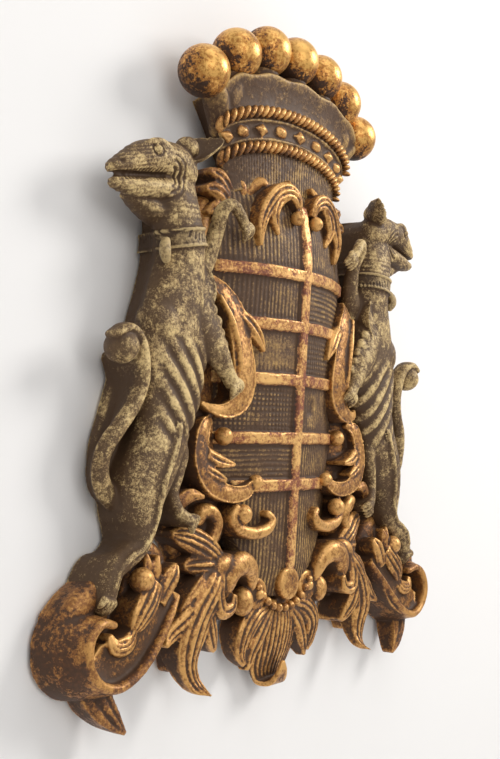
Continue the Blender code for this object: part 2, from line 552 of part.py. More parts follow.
def hound_limbs():
    """Forelegs, inner hind leg and paws."""
    shells = [
        limb([(146, 398, 28, 16, 12), (132, 420, 34, 11, 9), (126, 446, 42, 8, 7.5),
              (127, 466, 51, 7, 7), (119, 471, 56, 6, 6), (108, 462, 58, 5.5, 5.5),
              (101, 453, 57, 5.5, 5)]),
        limb([(122, 420, 12, 17, 12), (116, 452, 12, 15, 12), (112, 476, 12, 13, 12)], wall=True),
        limb([(166, 384, 38, 22, 15), (152, 360, 42, 20, 14), (138, 342, 45, 17, 12),
              (125, 326, 46, 12, 10), (115, 313, 47, 8, 8), (107, 303, 48, 7.5, 7)]),
        limb([(196, 268, 30, 20, 12), (178, 252, 34, 12, 10), (170, 238, 34, 9, 9),
              (174, 220, 34, 7, 7.5), (178, 203, 33, 6, 6.5), (172, 187, 36, 5.5, 6),
              (160, 178, 40, 6, 6)], wall=True),
    ]
    toes = ((141, 370, 48, 7.0), (133, 360, 48, 6.5), (127, 350, 47, 6.0), (121, 340, 47, 5.5),
            (115, 331, 46, 5.0))
    for x, z, d, size in toes:
        shells.append(ball(x, z, d, size, (1.0, 1.0, 0.8)))
    shells.append(leaf([(168, 414, 46, 6, 6), (158, 404, 50, 10, 6), (152, 390, 53, 12, 6),
                        (154, 376, 54, 9, 5), (160, 366, 54, 3, 4)],
                       ridges=1, crown=-0.1, groove=0.0, rim=2.0))
    shells.append(limb([(188, 262, 50, 3, 4), (196, 240, 50, 4, 5), (205, 220, 48, 4, 5),
                        (210, 198, 46, 3.5, 4.5), (213, 178, 43, 3, 4), (224, 160, 41, 3, 4),
                        (240, 152, 40, 3, 4), (253, 142, 39, 3, 4), (258, 130, 38, 3, 4)]))
    shells += paw(101.0, 456.0, 57.0, (-0.5, -0.85, 0.0), 5.0, 15.0)
    shells += paw(109.0, 307.0, 50.0, (-0.45, -0.85, 0.0), 6.0, 15.0)
    shells += paw(162.0, 180.0, 40.0, (-0.75, -0.6, 0.1), 5.0, 12.0)
    shells += paw(262.0, 121.0, 34.0, (0.15, -0.9, 0.2), 5.5, 9.0)
    return shells


def hound_tail():
    """Tail whose outer side stands on the wall, rising behind the rump and rolling up."""
    return [
        limb([(236, 200, 15, 11, 9, -6, 0), (250, 208, 17, 10, 9, -10, 0), (259, 225, 20, 9, 9, -15, 0),
              (258, 242, 24, 8.5, 9, -17, 0), (247, 262, 31, 8, 9, -18, 0),
              (233, 282, 35, 7.5, 9, -9, 2), (226, 302, 38, 7, 9, -4, 4), (229, 322, 40, 6.5, 9, 0, 4)],
             wall=True),
        limb([(226, 304, 38, 7, 9), (229, 324, 40, 6.5, 9.5), (239, 339, 42, 5.5, 10),
              (253, 344, 43, 5, 11), (266, 338, 43, 4, 10)]),
        ball(253.0, 328.5, 40.0, 14.5, (1.0, 1.0, 1.1)),
        limb([(232, 214, 6, 20, 8), (236, 240, 6, 16, 8), (228, 268, 6, 14, 8), (218, 300, 6, 12, 8)],
             wall=True),
    ]


def hound():
    """Rampant hound that holds the shield, its head turned out, its tail rolled up."""
    return hound_trunk() + hound_head() + hound_collar() + hound_limbs() + hound_tail()


def mirrored(shells):
    """The same shells on both halves of the shield."""
    both = list(shells)
    for points, faces in shells:
        turned = points * np.array([-1.0, 1.0, 1.0])
        both.append((turned, [face[::-1] for face in faces]))
    return both


def placed(points):
    """Drawing millimetres to metres in the frame of the part."""
    across = points[:, 0] * WIDTH / DRAWN_WIDTH
    up = points[:, 1] * HEIGHT / DRAWN_HEIGHT - HANGING_HEIGHT
    back = -points[:, 2] * DEPTH / DRAWN_DEPTH
    return np.stack([across, back, up], axis=1)


def joined_mesh(shells):
    """One mesh that holds every shell, each with its faces outwards."""
    bm = bmesh.new()
    for points, faces in shells:
        verts = [bm.verts.new(point) for point in placed(points)]
        for face in faces:
            bm.faces.new([verts[i] for i in face])
    bmesh.ops.recalc_face_normals(bm, faces=bm.faces)
    mesh = bpy.data.meshes.new("carving")
    bm.to_mesh(mesh)
    bm.free()
    return mesh


def evaluated(obj):
    """The mesh of an object with its modifiers applied."""
    graph = bpy.context.evaluated_depsgraph_get()
    graph.update()
    return bpy.data.meshes.new_from_object(obj.evaluated_get(graph))


def outer_shell(mesh):
    """The mesh without closed bubbles or loose crumbs: only its largest connected shell."""
    bm = bmesh.new()
    bm.from_mesh(mesh)
    left = set(bm.faces)
    shells = []
    while left:
        stack = [left.pop()]
        shell = []
        while stack:
            face = stack.pop()
            shell.append(face)
            for edge in face.edges:
                for other in edge.link_faces:
                    if other in left:
                        left.remove(other)
                        stack.append(other)
        shells.append(shell)
    shells.sort(key=len)
    crumbs = [face for shell in shells[:-1] for face in shell]
    bmesh.ops.delete(bm, geom=crumbs, context="FACES")
    bm.to_mesh(mesh)
    bm.free()
    return mesh


def carve(name, shells):
    """One closed solid from overlapping shells, cut flat along the back."""
    obj = bpy.data.objects.new(name, joined_mesh(shells))
    bpy.context.scene.collection.objects.link(obj)
    remesh = obj.modifiers.new("fuse", "REMESH")
    remesh.mode = "VOXEL"
    remesh.voxel_size = VOXEL
    obj.data = outer_shell(evaluated(obj))
    obj.modifiers.clear()
    thin = obj.modifiers.new("thin", "DECIMATE")
    thin.ratio = TRIANGLES / (2.0 * len(obj.data.polygons))
    obj.data = evaluated(obj)
    obj.modifiers.clear()
    bm = bmesh.new()
    bmesh.ops.create_cube(bm, size=2.0, matrix=Matrix.Translation((0.0, 1.0, 0.0)))
    block = bpy.data.meshes.new("wall_side")
    bm.to_mesh(block)
    bm.free()
    cutter = bpy.data.objects.new("wall_side", block)
    cutter.display_type = "WIRE"
    cutter.hide_render = True
    bpy.context.scene.collection.objects.link(cutter)
    cut = obj.modifiers.new("flat back", "BOOLEAN")
    cut.operation = "DIFFERENCE"
    cut.solver = "EXACT"
    cut.object = cutter
    obj.data = outer_shell(evaluated(obj))
    obj.modifiers.clear()
    bpy.data.objects.remove(cutter)
    return obj


def wood_finish():
    """Worn gilding over dark wood."""
    material = bpy.data.materials.new("gilt_wood")
    material.use_nodes = True
    shader = material.node_tree.nodes["Principled BSDF"]
    shader.inputs["Base Color"].default_value = GOLD
    shader.inputs["Roughness"].default_value = 0.45
    shader.inputs["Metallic"].default_value = 0.55
    return material


def main():
    for obj in list(bpy.data.objects):
        bpy.data.objects.remove(obj)
    shells = coronet() + shield() + palmette()
    for group in (top_leaves(), side_scrolls(), volute_leaf(), outer_scroll(), hound()):
        shells += mirrored(group)
    carving = carve("armorial_shield", shells)
    carving.data.materials.append(wood_finish())
    carving.data.shade_smooth()
    carving.data.set_sharp_from_angle(angle=np.radians(40.0))


main()
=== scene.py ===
"""Looks of a carved armorial shield: a gilt and painted wooden relief that hangs on a wall.

The carving is drawn in millimetres on the carver's own sheet: x from the middle line of the
shield, z above the lowest leaf tip, and d out from the flat back. Forms are drawn for one
half and mirrored. Each form is a short table of stations (x, z, d, half width, half depth)
along its middle line; overlapping forms are fused into one skin and then cut finer.
"""
import logging
import math
from dataclasses import dataclass, field
from enum import Enum
from typing import Callable, Optional, Sequence

import bpy
import numpy as np
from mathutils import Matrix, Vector, kdtree


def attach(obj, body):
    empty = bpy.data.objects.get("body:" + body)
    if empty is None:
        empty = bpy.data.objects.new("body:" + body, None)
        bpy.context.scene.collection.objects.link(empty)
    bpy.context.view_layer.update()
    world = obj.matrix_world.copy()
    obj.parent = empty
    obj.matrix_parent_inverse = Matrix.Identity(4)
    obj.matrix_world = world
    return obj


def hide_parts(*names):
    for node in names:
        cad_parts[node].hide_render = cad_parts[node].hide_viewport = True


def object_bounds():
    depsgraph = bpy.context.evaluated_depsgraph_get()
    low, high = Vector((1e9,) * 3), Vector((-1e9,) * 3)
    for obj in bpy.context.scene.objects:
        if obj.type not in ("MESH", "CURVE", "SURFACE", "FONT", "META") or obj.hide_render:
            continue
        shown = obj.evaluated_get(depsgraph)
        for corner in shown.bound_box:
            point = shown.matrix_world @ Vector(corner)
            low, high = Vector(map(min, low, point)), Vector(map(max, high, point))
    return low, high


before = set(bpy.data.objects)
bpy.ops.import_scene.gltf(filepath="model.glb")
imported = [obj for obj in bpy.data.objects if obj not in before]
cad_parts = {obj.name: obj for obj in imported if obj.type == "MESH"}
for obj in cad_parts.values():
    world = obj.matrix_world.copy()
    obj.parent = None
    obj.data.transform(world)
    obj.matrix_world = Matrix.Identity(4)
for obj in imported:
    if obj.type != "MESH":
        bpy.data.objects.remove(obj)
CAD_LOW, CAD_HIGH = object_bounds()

LOG = logging.getLogger("armorial_shield")
NODE = "armorial_shield"

# In metres, with the smallest shell that is kept in cubic metres.
MILLIMETRE = 0.001
HANGING_HEIGHT = 0.520
FLAT_BACK = 0.0009
SMALLEST_SHELL = 2e-7

# In millimetres on the sheet.
BALL_RADIUS = 25.0
LEAF_GROOVE = 2.3
LIMB_STEP = 2.2
LEAF_STEP = 1.4

# Sweep of the coronet's front, and how far its sides run on as a share of that.
CROWN_SPREAD = math.radians(80.0)
CROWN_SIDE = 0.28

# Rounds of smoothing that part fine cuts from broad relief, and broad relief from the form.
FINE_ROUNDS = 7
BROAD_ROUNDS = 70

Table = Sequence[Sequence[float]]
Place = tuple[float, float, float]
Colour = tuple[float, float, float]


class Zone(Enum):
    """The finishes that the carving wears."""

    BALL = "burnished_gold"
    LEAF = "leaf_gold"
    BAR = "bole_gold"
    UMBER = "umber_wood"
    HUSK = "brown_gold"
    HOUND = "hound_paint"
    COLLAR = "collar_paint"


Finishes = dict[Zone, bpy.types.Material]


@dataclass
class Shell:
    """One closed form of the drawing.

    Attributes:
        points: Corners as rows of x, z and d.
        quads: Four-sided faces.
        tris: Three-sided faces.
        zone: The finish it wears.
        tag: What the form is, for the cuts that follow.
    """

    points: np.ndarray
    quads: np.ndarray
    tris: np.ndarray
    zone: Zone = Zone.LEAF
    tag: str = ""

    def mirrored(self) -> "Shell":
        """The same form on the other half of the shield."""
        turned = self.points * np.array([-1.0, 1.0, 1.0])
        return Shell(turned, self.quads[:, ::-1], self.tris[:, ::-1], self.zone, self.tag)

    def volume(self) -> float:
        """Signed volume, positive where the faces point outwards on the sheet."""
        split = np.concatenate([self.quads[:, [0, 1, 2]], self.quads[:, [0, 2, 3]], self.tris])
        a, b, c = (self.points[split[:, i]] for i in range(3))
        return float(np.einsum("ij,ij->i", a, np.cross(b, c)).sum() / 6.0)


def smooth_rows(rows: Table, count: int) -> np.ndarray:
    """Read stations from a smooth curve through a table.

    Args:
        rows: The table, with the place in its first three columns.
        count: How many stations to read.

    Returns:
        The stations, evenly spread along the curve.
    """
    table = np.array(rows, dtype=float)
    gaps = np.linalg.norm(np.diff(table[:, :3], axis=0), axis=1) ** 0.5
    knots = np.concatenate([[0.0], np.cumsum(gaps)])
    slopes = np.gradient(table, knots, axis=0)
    places = np.linspace(0.0, knots[-1], count)
    index = np.clip(np.searchsorted(knots, places, side="right") - 1, 0, len(knots) - 2)
    span = (knots[index + 1] - knots[index])[:, None]
    u = (places - knots[index])[:, None] / span
    start = (2 * u**3 - 3 * u**2 + 1) * table[index] + (u**3 - 2 * u**2 + u) * span * slopes[index]
    end = (3 * u**2 - 2 * u**3) * table[index + 1] + (u**3 - u**2) * span * slopes[index + 1]
    return start + end


def sections(centre: np.ndarray, carried: bool,
             roll: float = 0.0) -> tuple[np.ndarray, np.ndarray, np.ndarray]:
    """Directions of the cross-section at each station.

    Args:
        centre: Places of the stations.
        carried: True to carry the section along a line that curls forwards.
        roll: Turn of the section about the line, in degrees.

    Returns:
        Tangents, side directions and front directions.
    """
    tangent = np.gradient(centre, axis=0)
    tangent /= np.linalg.norm(tangent, axis=1)[:, None]
    front = np.zeros_like(tangent)
    forward = np.array([0.0, 0.0, 1.0])
    for i, along in enumerate(tangent):
        start = front[i - 1] if carried and i else forward
        across = start - along * (start @ along)
        front[i] = across / max(np.linalg.norm(across), 1e-6)
    side = np.cross(front, tangent)
    if roll:
        cosine, sine = math.cos(math.radians(roll)), math.sin(math.radians(roll))
        front, side = front * cosine + side * sine, side * cosine - front * sine
    return tangent, side, front


def skin(rings: np.ndarray, zone: Zone, tag: str = "") -> Shell:
    """Close a stack of rings into a shell.

    Args:
        rings: Rings with the same number of points.
        zone: The finish of the form.
        tag: What the form is.

    Returns:
        The shell, its faces outwards.
    """
    stations, around, _ = rings.shape
    grid = np.arange(stations * around).reshape(stations, around)
    turned = np.roll(grid, -1, axis=1)
    quads = np.stack([grid[:-1], turned[:-1], turned[1:], grid[1:]], axis=-1).reshape(-1, 4)
    first, last = stations * around, stations * around + 1
    points = np.concatenate([rings.reshape(-1, 3), [rings[0].mean(axis=0)], [rings[-1].mean(axis=0)]])
    heads = np.stack([turned[0], grid[0], np.full(around, first)], axis=-1)
    tails = np.stack([grid[-1], turned[-1], np.full(around, last)], axis=-1)
    shell = Shell(points, quads, np.concatenate([heads, tails]), zone, tag)
    if shell.volume() < 0.0:
        shell.quads, shell.tris = shell.quads[:, ::-1], shell.tris[:, ::-1]
    return shell


def rounded_ends(path: np.ndarray) -> np.ndarray:
    """Add a domed cap at both ends of a limb.

    Args:
        path: Stations of the limb.

    Returns:
        The stations with those of the caps.
    """
    tangent, _, _ = sections(path[:, :3], False)
    head, tail = [], []
    for step in np.radians([82.0, 62.0, 40.0, 20.0]):
        for store, end, sign in ((head, 0, -1.0), (tail, -1, 1.0)):
            row = path[end].copy()
            reach = min(row[3], row[4])
            row[:3] = row[:3] + sign * tangent[end] * reach * np.sin(step)
            row[3:5] = row[3:5] * np.cos(step)
            store.append(row)
    return np.array(head + list(path) + tail[::-1])


def line_length(rows: Table) -> float:
    """Length of a table's middle line."""
    return float(np.linalg.norm(np.diff(np.array(rows, dtype=float)[:, :3], axis=0), axis=1).sum())


def limb(rows: Table, zone: Zone = Zone.LEAF, wall: bool = False, square: float = 1.0, ends: bool = True,
         tag: str = "") -> Shell:
    """Rounded form along a middle line.

    Args:
        rows: Stations with half width and half depth, and where side walls run down to the back
            also how far each wall spreads there, first on the left of the way, then on its right.
        zone: The finish.
        wall: True where side walls run down to the back.
        square: Below 1 the section is boxier.
        ends: True for domed ends.
        tag: What the form is.

    Returns:
        The closed form.
    """
    path = smooth_rows(rows, max(10, int(line_length(rows) / LIMB_STEP)))
    if ends:
        path = rounded_ends(path)
    _, side, front = sections(path[:, :3], False)
    half = np.linspace(0.0, np.pi, 25)
    rings = []
    for row, s, f in zip(path, side, front):
        across = np.sign(np.cos(half)) * np.abs(np.cos(half)) ** square * row[3]
        out = np.sin(half) ** square * row[4]
        top = row[:3] + across[:, None] * s + out[:, None] * f
        if wall:
            left, right = (row[5], row[6]) if len(row) > 5 else (0.0, 0.0)
            flat = np.array([1.0, 1.0, 0.0])
            feet = [top[-1] * flat - s * left, top[0] * flat + s * right]
            feet.insert(1, (feet[0] + feet[1]) / 2)
            left_flank = (top[-1] + feet[0]) / 2 - s * left * 0.2
            right_flank = (top[0] + feet[2]) / 2 + s * right * 0.2
            ring = np.vstack([top, left_flank, feet, right_flank])
        else:
            under = row[:3] + across[::-1][1:-1, None] * s - out[::-1][1:-1, None] * f
            ring = np.vstack([top, under])
        rings.append(ring)
    return skin(np.array(rings), zone, tag)


def leaf(rows: Table, ridges: int = 3, groove: float = LEAF_GROOVE, crown: float = 0.35,
         wall: bool = True, carried: bool = False, lift: float = 0.0, rim: float = 0.0,
         zone: Zone = Zone.LEAF, roll: float = 0.0, tag: str = "leaf") -> Shell:
    """Carved leaf with lengthwise ribs between cut grooves.

    Args:
        rows: Stations with half width and thickness.
        ridges: Number of ribs.
        groove: Depth of the cuts between them.
        crown: Rise of the middle as a share of the half width; below 0 the leaf is hollow.
        wall: True where its sides run down to the back.
        carried: True for a leaf that curls forwards over itself.
        lift: How far the underside of the tip stands off the back.
        rim: Rise of the raised edge.
        zone: The finish.
        roll: Turn of the section about the line, in degrees.
        tag: What the form is.

    Returns:
        The closed form.
    """
    count = max(14, int(line_length(rows) / LEAF_STEP))
    across = 12 * ridges + 13
    path = smooth_rows(rows, count)
    _, side, front = sections(path[:, :3], carried, roll)
    share = np.linspace(-1.0, 1.0, across)
    wave = 0.5 - 0.5 * np.cos(np.pi * ridges * (share + 1.0))
    grooved = (1.0 - wave) ** 1.6 * np.clip((0.98 - np.abs(share)) * 12.0, 0.0, 1.0)
    raised = np.exp(-(((1.0 - np.abs(share)) / 0.12) ** 2))
    rings = []
    for i, (row, s, f) in enumerate(zip(path, side, front)):
        width = max(row[3], 0.6)
        away = lift * float(np.clip((i / (count - 1) - 0.35) / 0.65, 0.0, 1.0)) ** 1.5
        rise = crown * width * (1.0 - share**2)
        fade = min(1.0, 0.15 + 3.5 * i / (count - 1))
        cut = fade * min(groove, width * 0.4) * grooved
        edge = min(rim, width * 0.3) * raised
        top = row[:3] + (share * width)[:, None] * s + (rise - cut + edge)[:, None] * f
        if wall:
            low = np.array([top[-1], (top[0] + top[-1]) / 2, top[0]])
            middle = (low[0] + low[2]) / 2
            low = middle + (low - middle) * 0.82
            low[:, 2] = away
        else:
            under = share[::-1][:: max(1, across // 8)]
            sag = crown * width * (1.0 - under**2) if crown < 0 else 0.0 * under
            low = row[:3] + (under * width * 0.88)[:, None] * s
            low = low + (sag - max(row[4], 1.5))[:, None] * f
        rings.append(np.vstack([top, low]))
    return skin(np.array(rings), zone, tag)


def ball(x: float, z: float, d: float, radius: float, squash: Place = (1.0, 1.0, 1.0),
         zone: Zone = Zone.LEAF, tag: str = "") -> Shell:
    """Ball or bud at a place of the sheet, squashed along x, z and d."""
    turns = np.linspace(0.0, 2 * np.pi, 40, endpoint=False)
    rings = []
    for rise in np.linspace(-np.pi / 2 + 0.08, np.pi / 2 - 0.08, 24):
        rings.append(np.stack([
            x + radius * squash[0] * np.cos(rise) * np.cos(turns),
            z + radius * squash[1] * np.sin(rise) + 0.0 * turns,
            d + radius * squash[2] * np.cos(rise) * np.sin(turns)], axis=1))
    return skin(np.array(rings), zone, tag)


def disc(x: float, z: float, d: float, radius: float, rise: float) -> Shell:
    """Flat round boss with a softened rim that stands on the carving behind it."""
    turns = np.linspace(0.0, 2 * np.pi, 48, endpoint=False)
    profile = ((1.0, 0.0), (1.0, d), (1.02, d + rise * 0.5), (0.98, d + rise * 0.8),
               (0.88, d + rise * 0.97), (0.70, d + rise), (0.3, d + rise))
    rings = []
    for share, depth in profile:
        reach = radius * share
        rings.append(np.stack([
            x + reach * np.cos(turns),
            z + reach * np.sin(turns),
            depth + 0.0 * turns], axis=1))
    return skin(np.array(rings), Zone.LEAF)


def stud(x: float, z: float, d: float, wide: float, high: float, rise: float, point: float) -> Shell:
    """Peaked stud on the band.

    Args:
        x: Place.
        z: Place.
        d: Place of its foot.
        wide: Half width.
        high: Half height.
        rise: Height of its peak.
        point: 1 for an oval outline, above 1 for one with four points.

    Returns:
        The closed form.
    """
    turns = np.linspace(0.0, 2 * np.pi, 32, endpoint=False)
    across = np.sign(np.cos(turns)) * np.abs(np.cos(turns)) ** point
    along = np.sign(np.sin(turns)) * np.abs(np.sin(turns)) ** point
    rings = []
    for share, lift in ((1.0, -3.0), (1.0, 0.3), (0.86, 0.55), (0.45, 0.85), (0.15, 1.0)):
        level = lift * rise if lift > 0 else lift
        rings.append(np.stack([
            x + wide * share * across,
            z + high * share * along,
            d + level + 0.0 * turns], axis=1))
    return skin(np.array(rings), Zone.LEAF, "stud")


def both(shells: Sequence[Shell]) -> list[Shell]:
    """The forms of one half with their mirrored twins."""
    return list(shells) + [shell.mirrored() for shell in shells]


def on_left(shells: Sequence[Shell]) -> list[Shell]:
    """Only the mirrored twins of forms drawn on the right."""
    return [shell.mirrored() for shell in shells]


def ramp(values: np.ndarray, start: float, length: float) -> np.ndarray:
    """Straight rise from 0 at the start to 1 after a length."""
    return np.clip((values - start) / length, 0.0, 1.0)


def groove_at(away: np.ndarray, width: float) -> np.ndarray:
    """Round groove, 1 deep in its middle, by how far away that is."""
    return np.exp(-((away / width) ** 2))


class Noise:
    """Smooth random field on a grid of fixed random values."""

    def __init__(self, seed: int) -> None:
        """Draw the grid's values from a fixed seed."""
        self.table = np.random.default_rng(seed).random((32, 32, 32)) * 2.0 - 1.0

    def at(self, points: np.ndarray, size: float) -> np.ndarray:
        """Value at each point.

        Args:
            points: Places.
            size: Size of the field's lumps, in the unit of the places.

        Returns:
            Values between -1 and 1.
        """
        scaled = points / size + 64.0
        cell = np.floor(scaled).astype(int)
        part = scaled - cell
        part = part * part * (3.0 - 2.0 * part)
        total = np.zeros(len(points))
        for corner in np.ndindex(2, 2, 2):
            shares = [part[:, k] if corner[k] else 1.0 - part[:, k] for k in range(3)]
            total += np.prod(shares, axis=0) * self.table[tuple(((cell + corner) % 32).T)]
        return total


def to_metres(points: np.ndarray) -> np.ndarray:
    """Sheet places in millimetres to the frame of the part."""
    height = points[:, 1] - HANGING_HEIGHT / MILLIMETRE
    return np.stack([points[:, 0], -points[:, 2], height], axis=1) * MILLIMETRE


def to_sheet(points: np.ndarray) -> np.ndarray:
    """Places in the frame of the part back to the sheet."""
    return np.stack([points[:, 0], points[:, 2] + HANGING_HEIGHT, -points[:, 1]], axis=1) / MILLIMETRE


def plain_mesh(name: str, points: np.ndarray, quads: np.ndarray, tris: np.ndarray) -> bpy.types.Mesh:
    """Mesh from arrays.

    Args:
        name: The mesh's name.
        points: Corners, in metres.
        quads: Four-sided faces.
        tris: Three-sided faces.

    Returns:
        The mesh.
    """
    mesh = bpy.data.meshes.new(name)
    mesh.vertices.add(len(points))
    mesh.vertices.foreach_set("co", points.astype(np.float32).ravel())
    mesh.loops.add(quads.size + tris.size)
    order = np.concatenate([quads.ravel(), tris.ravel()])
    mesh.loops.foreach_set("vertex_index", order.astype(np.int32))
    mesh.polygons.add(len(quads) + len(tris))
    starts = np.concatenate([np.arange(len(quads)) * 4, quads.size + np.arange(len(tris)) * 3])
    mesh.polygons.foreach_set("loop_start", starts.astype(np.int32))
    mesh.update(calc_edges=True)
    return mesh


def sheet(name: str, places: Sequence[Place]) -> bpy.types.Mesh:
    """Flat mesh of one face with four corners."""
    return plain_mesh(name, np.array(places), np.array([(0, 1, 2, 3)]), np.empty((0, 3), dtype=int))


def corners(mesh: bpy.types.Mesh) -> np.ndarray:
    """Corner places of a mesh."""
    values = np.empty(len(mesh.vertices) * 3, dtype=np.float32)
    mesh.vertices.foreach_get("co", values)
    return values.reshape(-1, 3).astype(float)


def set_corners(mesh: bpy.types.Mesh, places: np.ndarray) -> None:
    """Move a mesh's corners to new places."""
    mesh.vertices.foreach_set("co", places.astype(np.float32).ravel())
    mesh.update()


def carry(mesh: bpy.types.Mesh, name: str, values: np.ndarray) -> None:
    """Let a mesh carry one value at each corner under a name."""
    layer = mesh.attributes.new(name, "FLOAT", "POINT")
    layer.data.foreach_set("value", values.astype(np.float32))


def edge_pairs(mesh: bpy.types.Mesh) -> np.ndarray:
    """Corner pairs of a mesh's edges."""
    values = np.empty(len(mesh.edges) * 2, dtype=np.int32)
    mesh.edges.foreach_get("vertices", values)
    return values.reshape(-1, 2)


def corner_normals(mesh: bpy.types.Mesh) -> np.ndarray:
    """Normals at a mesh's corners."""
    values = np.empty(len(mesh.vertices) * 3, dtype=np.float32)
    mesh.vertex_normals.foreach_get("vector", values)
    return values.reshape(-1, 3).astype(float)


def relaxed(values: np.ndarray, edges: np.ndarray, rounds: int) -> np.ndarray:
    """Spread values over the skin.

    Args:
        values: One row for each corner.
        edges: Corner pairs.
        rounds: How often each corner moves half way to its neighbours' mean.

    Returns:
        The spread values.
    """
    count = len(values)
    a, b = edges[:, 0], edges[:, 1]
    degree = np.maximum(np.bincount(edges.ravel(), minlength=count), 1)
    now = values.reshape(count, -1).astype(float)
    for _ in range(rounds):
        near = []
        for k in range(now.shape[1]):
            near.append(np.bincount(a, now[b, k], count) + np.bincount(b, now[a, k], count))
        now = 0.5 * now + 0.5 * np.stack(near, axis=1) / degree[:, None]
    return now.reshape(values.shape)


def new_object(name: str, mesh: bpy.types.Mesh) -> bpy.types.Object:
    """Object at the origin that shows a mesh."""
    piece = bpy.data.objects.new(name, mesh)
    bpy.context.scene.collection.objects.link(piece)
    return piece


def applied(piece: bpy.types.Object) -> bpy.types.Object:
    """Make an object's modifiers part of its mesh and take them off."""
    graph = bpy.context.evaluated_depsgraph_get()
    graph.update()
    piece.data = bpy.data.meshes.new_from_object(piece.evaluated_get(graph))
    piece.modifiers.clear()
    return piece


def largest_shell(mesh: bpy.types.Mesh) -> bpy.types.Mesh:
    """Drop inner bubbles and crumbs, keeping the shells that show.

    Args:
        mesh: A fused skin.

    Returns:
        A mesh with only its outward shells of some size.
    """
    points, edges = corners(mesh), edge_pairs(mesh)
    label = np.arange(len(points))
    while True:
        low = np.minimum(label[edges[:, 0]], label[edges[:, 1]])
        fresh = label.copy()
        np.minimum.at(fresh, edges[:, 0], low)
        np.minimum.at(fresh, edges[:, 1], low)
        fresh = fresh[fresh]
        if np.array_equal(fresh, label):
            break
        label = fresh
    quads = np.empty(len(mesh.loops), dtype=np.int32)
    mesh.loops.foreach_get("vertex_index", quads)
    quads = quads.reshape(-1, 4)
    a, b, c, e = (points[quads[:, k]] for k in range(4))
    size = np.einsum("ij,ij->i", a, np.cross(b, c)) + np.einsum("ij,ij->i", a, np.cross(c, e))
    volume = np.bincount(label[quads[:, 0]], size / 6.0, len(points))
    kept = volume[label] > SMALLEST_SHELL
    renumber = np.cumsum(kept) - 1
    faces = quads[kept[quads[:, 0]]]
    return plain_mesh(mesh.name, points[kept], renumber[faces], np.empty((0, 3), dtype=int))


